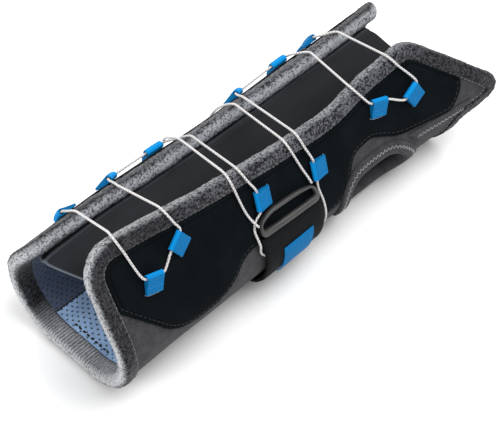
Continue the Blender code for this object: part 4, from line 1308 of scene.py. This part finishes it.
class BRACE_OT_handle(bpy.types.Operator):
    """The moulded pull handle at the strap's end"""
    bl_idname = "brace.handle"
    bl_label = "Pull handle"

    def execute(self, context):
        left = STRAP_PLACE - STRAP_WIDTH / 2
        right = STRAP_PLACE + STRAP_WIDTH / 2
        low = STRAP_TOP + CLEAR
        high = low + HANDLE_HEIGHT
        outer = (
            (left + HANDLE_PROUD, low + STRAP_SLANT, 0.15),
            (right + HANDLE_PROUD, low - STRAP_SLANT, 0.15),
            (right - HANDLE_TAPER, low + 0.66 * HANDLE_HEIGHT, 0.3),
            (STRAP_PLACE + 0.2 * STRAP_WIDTH, high - 0.1 * HANDLE_HEIGHT, 2.0),
            (left + 0.22 * STRAP_WIDTH, high, 1.2),
            (left + 0.8 * HANDLE_TAPER, high - 0.28 * HANDLE_HEIGHT, 0.3),
        )
        side = HANDLE_ARCH
        slot = (
            (left + side, low + HANDLE_BAR + STRAP_SLANT, 0.1),
            (right - side + HANDLE_PROUD, low + HANDLE_BAR - STRAP_SLANT, 0.1),
            (right - side - 0.8 * HANDLE_TAPER, low + 0.62 * HANDLE_HEIGHT, 0.2),
            (STRAP_PLACE + 0.18 * STRAP_WIDTH, high - 0.1 * HANDLE_HEIGHT - HANDLE_ARCH, 1.2),
            (left + 0.24 * STRAP_WIDTH, high - HANDLE_ARCH, 0.9),
            (left + side + 0.4 * HANDLE_TAPER, high - 0.25 * HANDLE_HEIGHT - 0.4 * HANDLE_ARCH, 0.2),
        )
        rings = [rounded([(x, a, r * CORNER) for x, a, r in table]) for table in (outer, slot)]
        outside, inside = (softened(resampled(ring, 0.45 * MM), 4) for ring in rings)
        seat = CLEAR + PANEL + CLEAR
        count = 8
        section = []
        for k in range(count):
            turn = 2 * math.pi * (k + 0.5) / count
            section.append((0.5 - 0.5 * squared(math.cos(turn)), seat + HANDLE_PLY * (0.5 + 0.5 * squared(math.sin(turn)))))
        inside = matched(outside, inside)
        bm = bmesh.new()
        along = len(outside)
        bmesh.ops.create_grid(bm, x_segments=count, y_segments=along, size=1)
        for vert in bm.verts:
            share, height = section[round((vert.co.x + 1) / 2 * count) % count]
            j = round((vert.co.y + 1) / 2 * along) % along
            vert.co = (*(outside[j] * (1 - share) + inside[j] * share), height)
        bmesh.ops.remove_doubles(bm, verts=bm.verts, dist=0.001 * MM)
        laid(bm, np.array([vert.co for vert in bm.verts]))
        moulded = material("moulded_grey", moulded_finish)
        piece = add_piece("handle_ring", bm, moulded, ["pull_handle"], 60)
        smoother = piece.modifiers.new("Smooth", "SUBSURF")
        smoother.levels = smoother.render_levels = 1
        return {"FINISHED"}


def squared(value):
    """A cosine pushed outwards, so that a round section becomes a rounded square one."""
    return math.copysign(abs(value) ** 0.45, value)


def matched(outside, inside):
    """For each point of the outer ring, the point of the inner ring that faces it."""
    middle = np.mean(inside, axis=0)
    squeeze = np.array((1, 2.6))
    inner_turns = np.arctan2(*((inside - middle) * squeeze).T[::-1])
    order = np.argsort(inner_turns)
    turns = np.arctan2(*((outside - middle) * squeeze).T[::-1])
    pairs = [np.interp(turns, inner_turns[order], inside[order, k], period=2 * math.pi) for k in (0, 1)]
    return np.stack(pairs, axis=1)


class BRACE_OT_loops(bpy.types.Operator):
    """The webbing loops that hold the laces, with the threads that sew them down"""
    bl_idname = "brace.loops"
    bl_label = "Webbing loops"

    def execute(self, context):
        webbing = material("blue_webbing", webbing_finish, "blue_webbing", tuple(colours().webbing))
        seams, bars = [], []
        for name, x, a, way in loop_places():
            add_piece("web_" + name, folded_strip(x, a, way), webbing, [name], 45)
            sew_loop(seams, bars, x, a, way)
        blue = material("blue_thread", thread_finish, "blue_thread", tinted(colours().webbing, 0.75))
        add_piece("loop_stitches", sewn(seams), blue)
        grey = material("grey_thread", thread_finish, "grey_thread", tuple(colours().thread_grey))
        add_piece("loop_bars", sewn(bars), grey)
        return {"FINISHED"}


def strip_top(u):
    """Height of a loop's upper face at a distance from its fold: it slopes from the eye to the sewn end."""
    outer = LACE / 2 + EASE + WEB_PLY
    seat = CLEAR + PANEL + CLEAR
    share = (u - 1.45 * outer) / (0.97 * WEB_LENGTH - 1.45 * outer)
    high, low = seat + 1.85 * outer, seat + WEB_SEWN * WEB_PLY
    return low + (high - low) * (1 - min(max(share, 0), 1)) ** 1.15


def folded_strip(x, a, way):
    """A webbing strip folded over the lace: its section drawn from its side, with soft selvedges."""
    eye = LACE / 2 + EASE
    outer = eye + WEB_PLY
    seat = CLEAR + PANEL + CLEAR
    doubled = strip_top(WEB_LENGTH)
    section = [(WEB_LENGTH, seat), (WEB_LENGTH, doubled - 0.15 * MM)]
    section += [(WEB_LENGTH * s, strip_top(WEB_LENGTH * s)) for s in (0.97, 0.85, 0.7, 0.55, 0.42)]
    for t in np.radians(np.arange(-25, 150, 20)):
        section.append((outer - outer * math.sin(t), seat + outer + outer * math.cos(t)))
    section += [(0.6 * outer, seat)]
    bore = [(outer + eye * math.sin(t), seat + outer + eye * math.cos(t)) for t in np.linspace(0, 2 * math.pi, 13)[:-1]]
    bm = bmesh.new()
    steps = 8
    for outline in (section, bore):
        rings = []
        for k in range(steps + 1):
            v = WEB_WIDTH * (k / steps - 0.5)
            pinch = 0.10 * MM if k in (0, steps) else 0.0
            ring = [bm.verts.new((u, v, h - (pinch if h > seat else 0))) for u, h in outline]
            loop = [bm.edges.new((p, q)) for p, q in zip(ring, ring[1:] + ring[:1])]
            if rings:
                bmesh.ops.bridge_loops(bm, edges=rings[-1] + loop)
            rings.append(loop)
        if outline is section:
            ends = [rings[0], rings[-1]]
        else:
            for first, second in zip(ends, (rings[0], rings[-1])):
                bmesh.ops.triangle_fill(bm, edges=first + second, use_beauty=True)
    coords = np.array([vert.co for vert in bm.verts])
    cos, sin = math.cos(math.radians(way)), math.sin(math.radians(way))
    uv = bm.loops.layers.uv.new("Pattern")
    bm.verts.index_update()
    for face in bm.faces:
        for loop in face.loops:
            loop[uv].uv = coords[loop.vert.index][:2]
    turned = np.stack((x + coords[:, 0] * cos - coords[:, 1] * sin, a + coords[:, 0] * sin + coords[:, 1] * cos, coords[:, 2]), axis=1)
    for vert, place in zip(bm.verts, bent(turned)):
        vert.co = place
    bmesh.ops.recalc_face_normals(bm, faces=bm.faces)
    return bm


def sew_loop(seams, bars, x, a, way):
    """Two rows of stitches over a loop's sewn end, and the thread bar beyond it."""
    cos, sin = math.cos(math.radians(way)), math.sin(math.radians(way))

    def place(u, v):
        return np.array((x + u * cos - v * sin, a + u * sin + v * cos))

    half = WEB_WIDTH / 2 - 0.8 * MM
    for u in (WEB_LENGTH - 1.0 * MM, WEB_LENGTH - 3.6 * MM):
        stitch_line(seams, [place(u, -half), place(u, half)], strip_top(u), pitch=1.6 * MM)
    beyond = WEB_LENGTH + 0.9 * MM
    marks = np.linspace(-WEB_WIDTH / 2 - 0.4 * MM, WEB_WIDTH / 2 + 0.4 * MM, 8)
    bow = [place(beyond - 0.8 * MM * (v / (WEB_WIDTH / 2)) ** 4, v) for v in marks]
    for first, last in zip(bow, bow[1:]):
        one_stitch(bars, first, last, CLEAR + PANEL)


class BRACE_OT_laces(bpy.types.Operator):
    """The two braided laces and the pull cord"""
    bl_idname = "brace.laces"
    bl_label = "Laces and pull cord"

    def execute(self, context):
        lace = material("braided_lace", lace_finish)
        eyes = eye_points()
        for name, stops in cord_routes().items():
            line = []
            for run in runs(stops, eyes):
                line += list(bent([tuple(point) for point in curve_through(run)]))
            route = softened(resampled(line, 0.7 * MM, closed=False), 3, closed=False)
            add_piece(name + "_braid", tube(route, LACE), lace, [name], 60)
        return {"FINISHED"}


class BRACE_OT_tongue(bpy.types.Operator):
    """The smooth tongue that sags between the rims"""
    bl_idname = "brace.tongue"
    bl_label = "Tongue"

    def execute(self, context):
        inside = -WALL - LINING - 2 * CLEAR - TONGUE / 2
        start, end = TONGUE_ENDS[0] * LENGTH, TONGUE_ENDS[1] * LENGTH
        bm = bmesh.new()
        bmesh.ops.create_grid(bm, x_segments=130, y_segments=90, size=1)
        uv = bm.loops.layers.uv.new("Pattern")
        hem = bm.verts.layers.float.new("End_highlight")
        for face in bm.faces:
            for loop in face.loops:
                loop[uv].uv = (loop.vert.co.x * (end - start) / 2, loop.vert.co.y * TONGUE_NEAR / 2)
        for vert in bm.verts:
            u, t = (vert.co.x + 1) / 2, (vert.co.y + 1) / 2
            corner = min(t, 1 - t) * 6
            trim = TONGUE_CORNER * (1 - math.sqrt(max(0, 1 - (1 - min(corner, 1)) ** 2)))
            slant = (27 * MM * min(t, 0.5) - 4 * MM - 0.7 * trim) * (1 - u) ** 6
            x = start + trim + slant + (end - start - 2 * trim) * u
            far = bend(x, -(rim(-1, x) - TONGUE_FAR), inside)
            near = bend(x, TONGUE_NEAR, inside)
            low = (far + near) / 2 - Vector((0, 0, TONGUE_SAG))
            fold = 0.9 * MM * max(0, 1 - abs(t - 0.0606) / 0.025) - 1.0 * MM * max(0, 1 - abs(t - 0.03) / 0.03)
            curl = 1.8 * MM * max(0, 1 - u / 0.035) ** 2
            ripple = 0.5 * MM * math.sin(x / (19 * MM)) * math.sin(math.pi * t)
            place = far * (1 - t) ** 2 + low * 2 * t * (1 - t) + near * t ** 2
            vert.co = place + Vector((0, 0, fold + ripple - curl))
            # Painted highlight along the elbow end's edge, read by the tongue's finish
            vert[hem] = max(0, 1 - u / 0.007)
        bmesh.ops.recalc_face_normals(bm, faces=bm.faces)
        bmesh.ops.solidify(bm, geom=bm.faces[:], thickness=TONGUE)
        bmesh.ops.recalc_face_normals(bm, faces=bm.faces)
        piece = add_piece("tongue_sheet", bm, material("smooth_tongue", tongue_finish), ["tongue"], 60)
        declare_cloth(piece)
        return {"FINISHED"}


class BRACE_OT_stitches(bpy.types.Operator):
    """The seams: round the panels, inside the bound edge and on the lining, and the zigzag round the thumb hole and
    along the tape
    """
    bl_idname = "brace.stitches"
    bl_label = "Stitches"

    def execute(self, context):
        c = colours()
        dark = []
        edge = softened(resampled(blank_outline(), 1 * MM), 6)
        field = shrunk(edge, MARGIN)
        top = CLEAR + PANEL - 0.15 * MM
        for table in (NEAR_PANEL, FAR_PANEL):
            ring = softened(resampled(inset(rounded(scaled(table)), 2.0 * MM), 1 * MM), 2)
            inside = points_inside(ring, shrunk(edge, MARGIN + 1 * MM))
            for part in unbroken(ring, inside):
                stitch_line(dark, part, top)
        thread = material("dark_thread", thread_finish, "dark_thread", tuple(c.thread_dark))
        add_piece("panel_stitches", sewn(dark), thread)
        grey = []
        thumb = rounded(scaled(THUMB))
        band = softened(resampled(inset(thumb, -3.4 * MM), 1 * MM), 4)
        stitch_line(grey, band, CLEAR + BINDING_PLY + 0.12 * MM, closed=True, pitch=1.3 * MM, zigzag=0.9 * MM)
        tape = [(0.790 * LENGTH, 0.4705 * NEAR_GIRTH), (0.936 * LENGTH, 0.4705 * NEAR_GIRTH)]
        inside = points_inside(resampled(tape, 1 * MM, closed=False), field)
        for part in unbroken(resampled(tape, 1 * MM, closed=False), inside, closed=False):
            stitch_line(grey, part, CLEAR + TAPE, pitch=1.3 * MM, zigzag=0.9 * MM)
        seam = shrunk(edge, BINDING_WIDTH + 0.35 * MM)
        stitch_line(grey, seam, CLEAR, closed=True, pitch=2.6 * MM)
        thread = material("grey_thread", thread_finish, "grey_thread", tuple(c.thread_grey))
        add_piece("zigzag_stitches", sewn(grey), thread)
        seam = []
        inner = -WALL - CLEAR - LINING
        for line, pitch, thick in (
            (((10.5 * MM, -SEAM_PLACE), (0.87 * LENGTH, -SEAM_PLACE)), 1.9 * MM, 3.2),
            (((12.6 * MM, -9 * MM), (12.6 * MM, 17 * MM)), 2.9 * MM, 4.0),
        ):
            stitch_line(seam, line, inner, pitch=pitch, thick=thick)
        black = material("black_thread", thread_finish, "black_thread", tinted(c.thread_dark, 0.3))
        add_piece("lining_stitches", sewn(seam), black)
        return {"FINISHED"}


def points_inside(points, ring):
    """Which pattern points lie inside a ring."""
    x, a = np.array(points).T
    inside = np.zeros(len(x), bool)
    ahead = np.roll(np.array(ring), -1, axis=0)
    for (x0, a0), (x1, a1) in zip(ring, ahead):
        crosses = (a0 > a) != (a1 > a)
        at = x0 + (a - a0) * (x1 - x0) / ((a1 - a0) or 1e-12)
        inside ^= crosses & (x < at)
    return inside


def unbroken(ring, kept, closed=True):
    """The stretches of a ring whose points are kept."""
    ring = list(np.array(ring))
    kept = list(kept)
    if closed and not all(kept):
        start = kept.index(False)
        ring, kept = ring[start:] + ring[:start], kept[start:] + kept[:start]
    parts, part = [], []
    for point, keep in zip(ring, kept):
        if keep:
            part.append(point)
        elif part:
            parts.append(part)
            part = []
    parts.append(part)
    return [part for part in parts if len(part) > 4]


class BRACE_OT_stage(bpy.types.Operator):
    """The pale floor, the soft studio lights and the camera"""
    bl_idname = "brace.stage"
    bl_label = "Stage"

    def execute(self, context):
        scene = context.scene
        bm = bmesh.new()
        bmesh.ops.create_grid(bm, x_segments=1, y_segments=1, size=6)
        mesh = bpy.data.meshes.new("floor")
        bm.to_mesh(mesh)
        bm.free()
        floor = bpy.data.objects.new("floor", mesh)
        scene.collection.objects.link(floor)
        floor.location.z = -0.0002
        mesh.materials.append(material("pale_floor", floor_finish))
        world = bpy.data.worlds.new("studio")
        scene.world = world
        world.use_nodes = True
        background = world.node_tree.nodes["Background"]
        background.inputs["Color"].default_value = (1, 1, 1, 1)
        background.inputs["Strength"].default_value = 0.66
        scene.view_settings.view_transform = "Standard"
        lights = (
            ("key", (0.30, -0.30, 1.00), 0.8, 10.5),
            ("elbow", (-0.85, 0.15, 0.30), 0.35, 3.6),
            ("back", (0.45, 0.80, 0.40), 0.5, 4.0),
        )
        for name, place, size, power in lights:
            light = bpy.data.lights.new(name, "AREA")
            light.size = size
            light.energy = power
            lamp = bpy.data.objects.new(name, light)
            scene.collection.objects.link(lamp)
            lamp.location = place
            lamp.rotation_euler = (Vector((0, 0, 0.04)) - Vector(place)).to_track_quat("-Z", "Y").to_euler()
        camera = bpy.data.cameras.new("camera")
        camera.lens = CAMERA_LENS
        camera.sensor_width = 36
        camera.clip_start = 0.01
        view = bpy.data.objects.new("camera", camera)
        scene.collection.objects.link(view)
        back = CAMERA_RIGHT.cross(CAMERA_UP)
        turn = Matrix((CAMERA_RIGHT, CAMERA_UP, back)).transposed().to_4x4()
        view.matrix_world = Matrix.Translation(CAMERA_PLACE) @ turn
        scene.camera = view
        return {"FINISHED"}


OPERATORS = (
    BRACE_OT_stage,
    BRACE_OT_laces,
    BRACE_OT_sleeve,
    BRACE_OT_lining,
    BRACE_OT_panels,
    BRACE_OT_bindings,
    BRACE_OT_strap,
    BRACE_OT_handle,
    BRACE_OT_loops,
    BRACE_OT_tongue,
    BRACE_OT_stitches,
)


class BRACE_PT_panel(bpy.types.Panel):
    """Lists the brace's pieces"""
    bl_idname = "BRACE_PT_panel"
    bl_label = "Wrist brace"
    bl_space_type = "VIEW_3D"
    bl_region_type = "UI"
    bl_category = "Brace"

    def draw(self, context):
        for operator in OPERATORS:
            self.layout.operator(operator.bl_idname)
        for group in (context.scene.brace_sizes, context.scene.brace_colours):
            box = self.layout.box()
            for label in group.__annotations__:
                box.prop(group, label)


CLASSES = (BraceSizes, BraceColours, *OPERATORS, BRACE_PT_panel)


def register():
    for item in CLASSES:
        bpy.utils.register_class(item)
    bpy.types.Scene.brace_sizes = bpy.props.PointerProperty(type=BraceSizes)
    bpy.types.Scene.brace_colours = bpy.props.PointerProperty(type=BraceColours)


def unregister():
    del bpy.types.Scene.brace_colours
    del bpy.types.Scene.brace_sizes
    for item in reversed(CLASSES):
        bpy.utils.unregister_class(item)


def main():
    register()
    for operator in OPERATORS:
        group, name = operator.bl_idname.split(".")
        getattr(getattr(bpy.ops, group), name)()


if __name__ == "__main__":
    main()
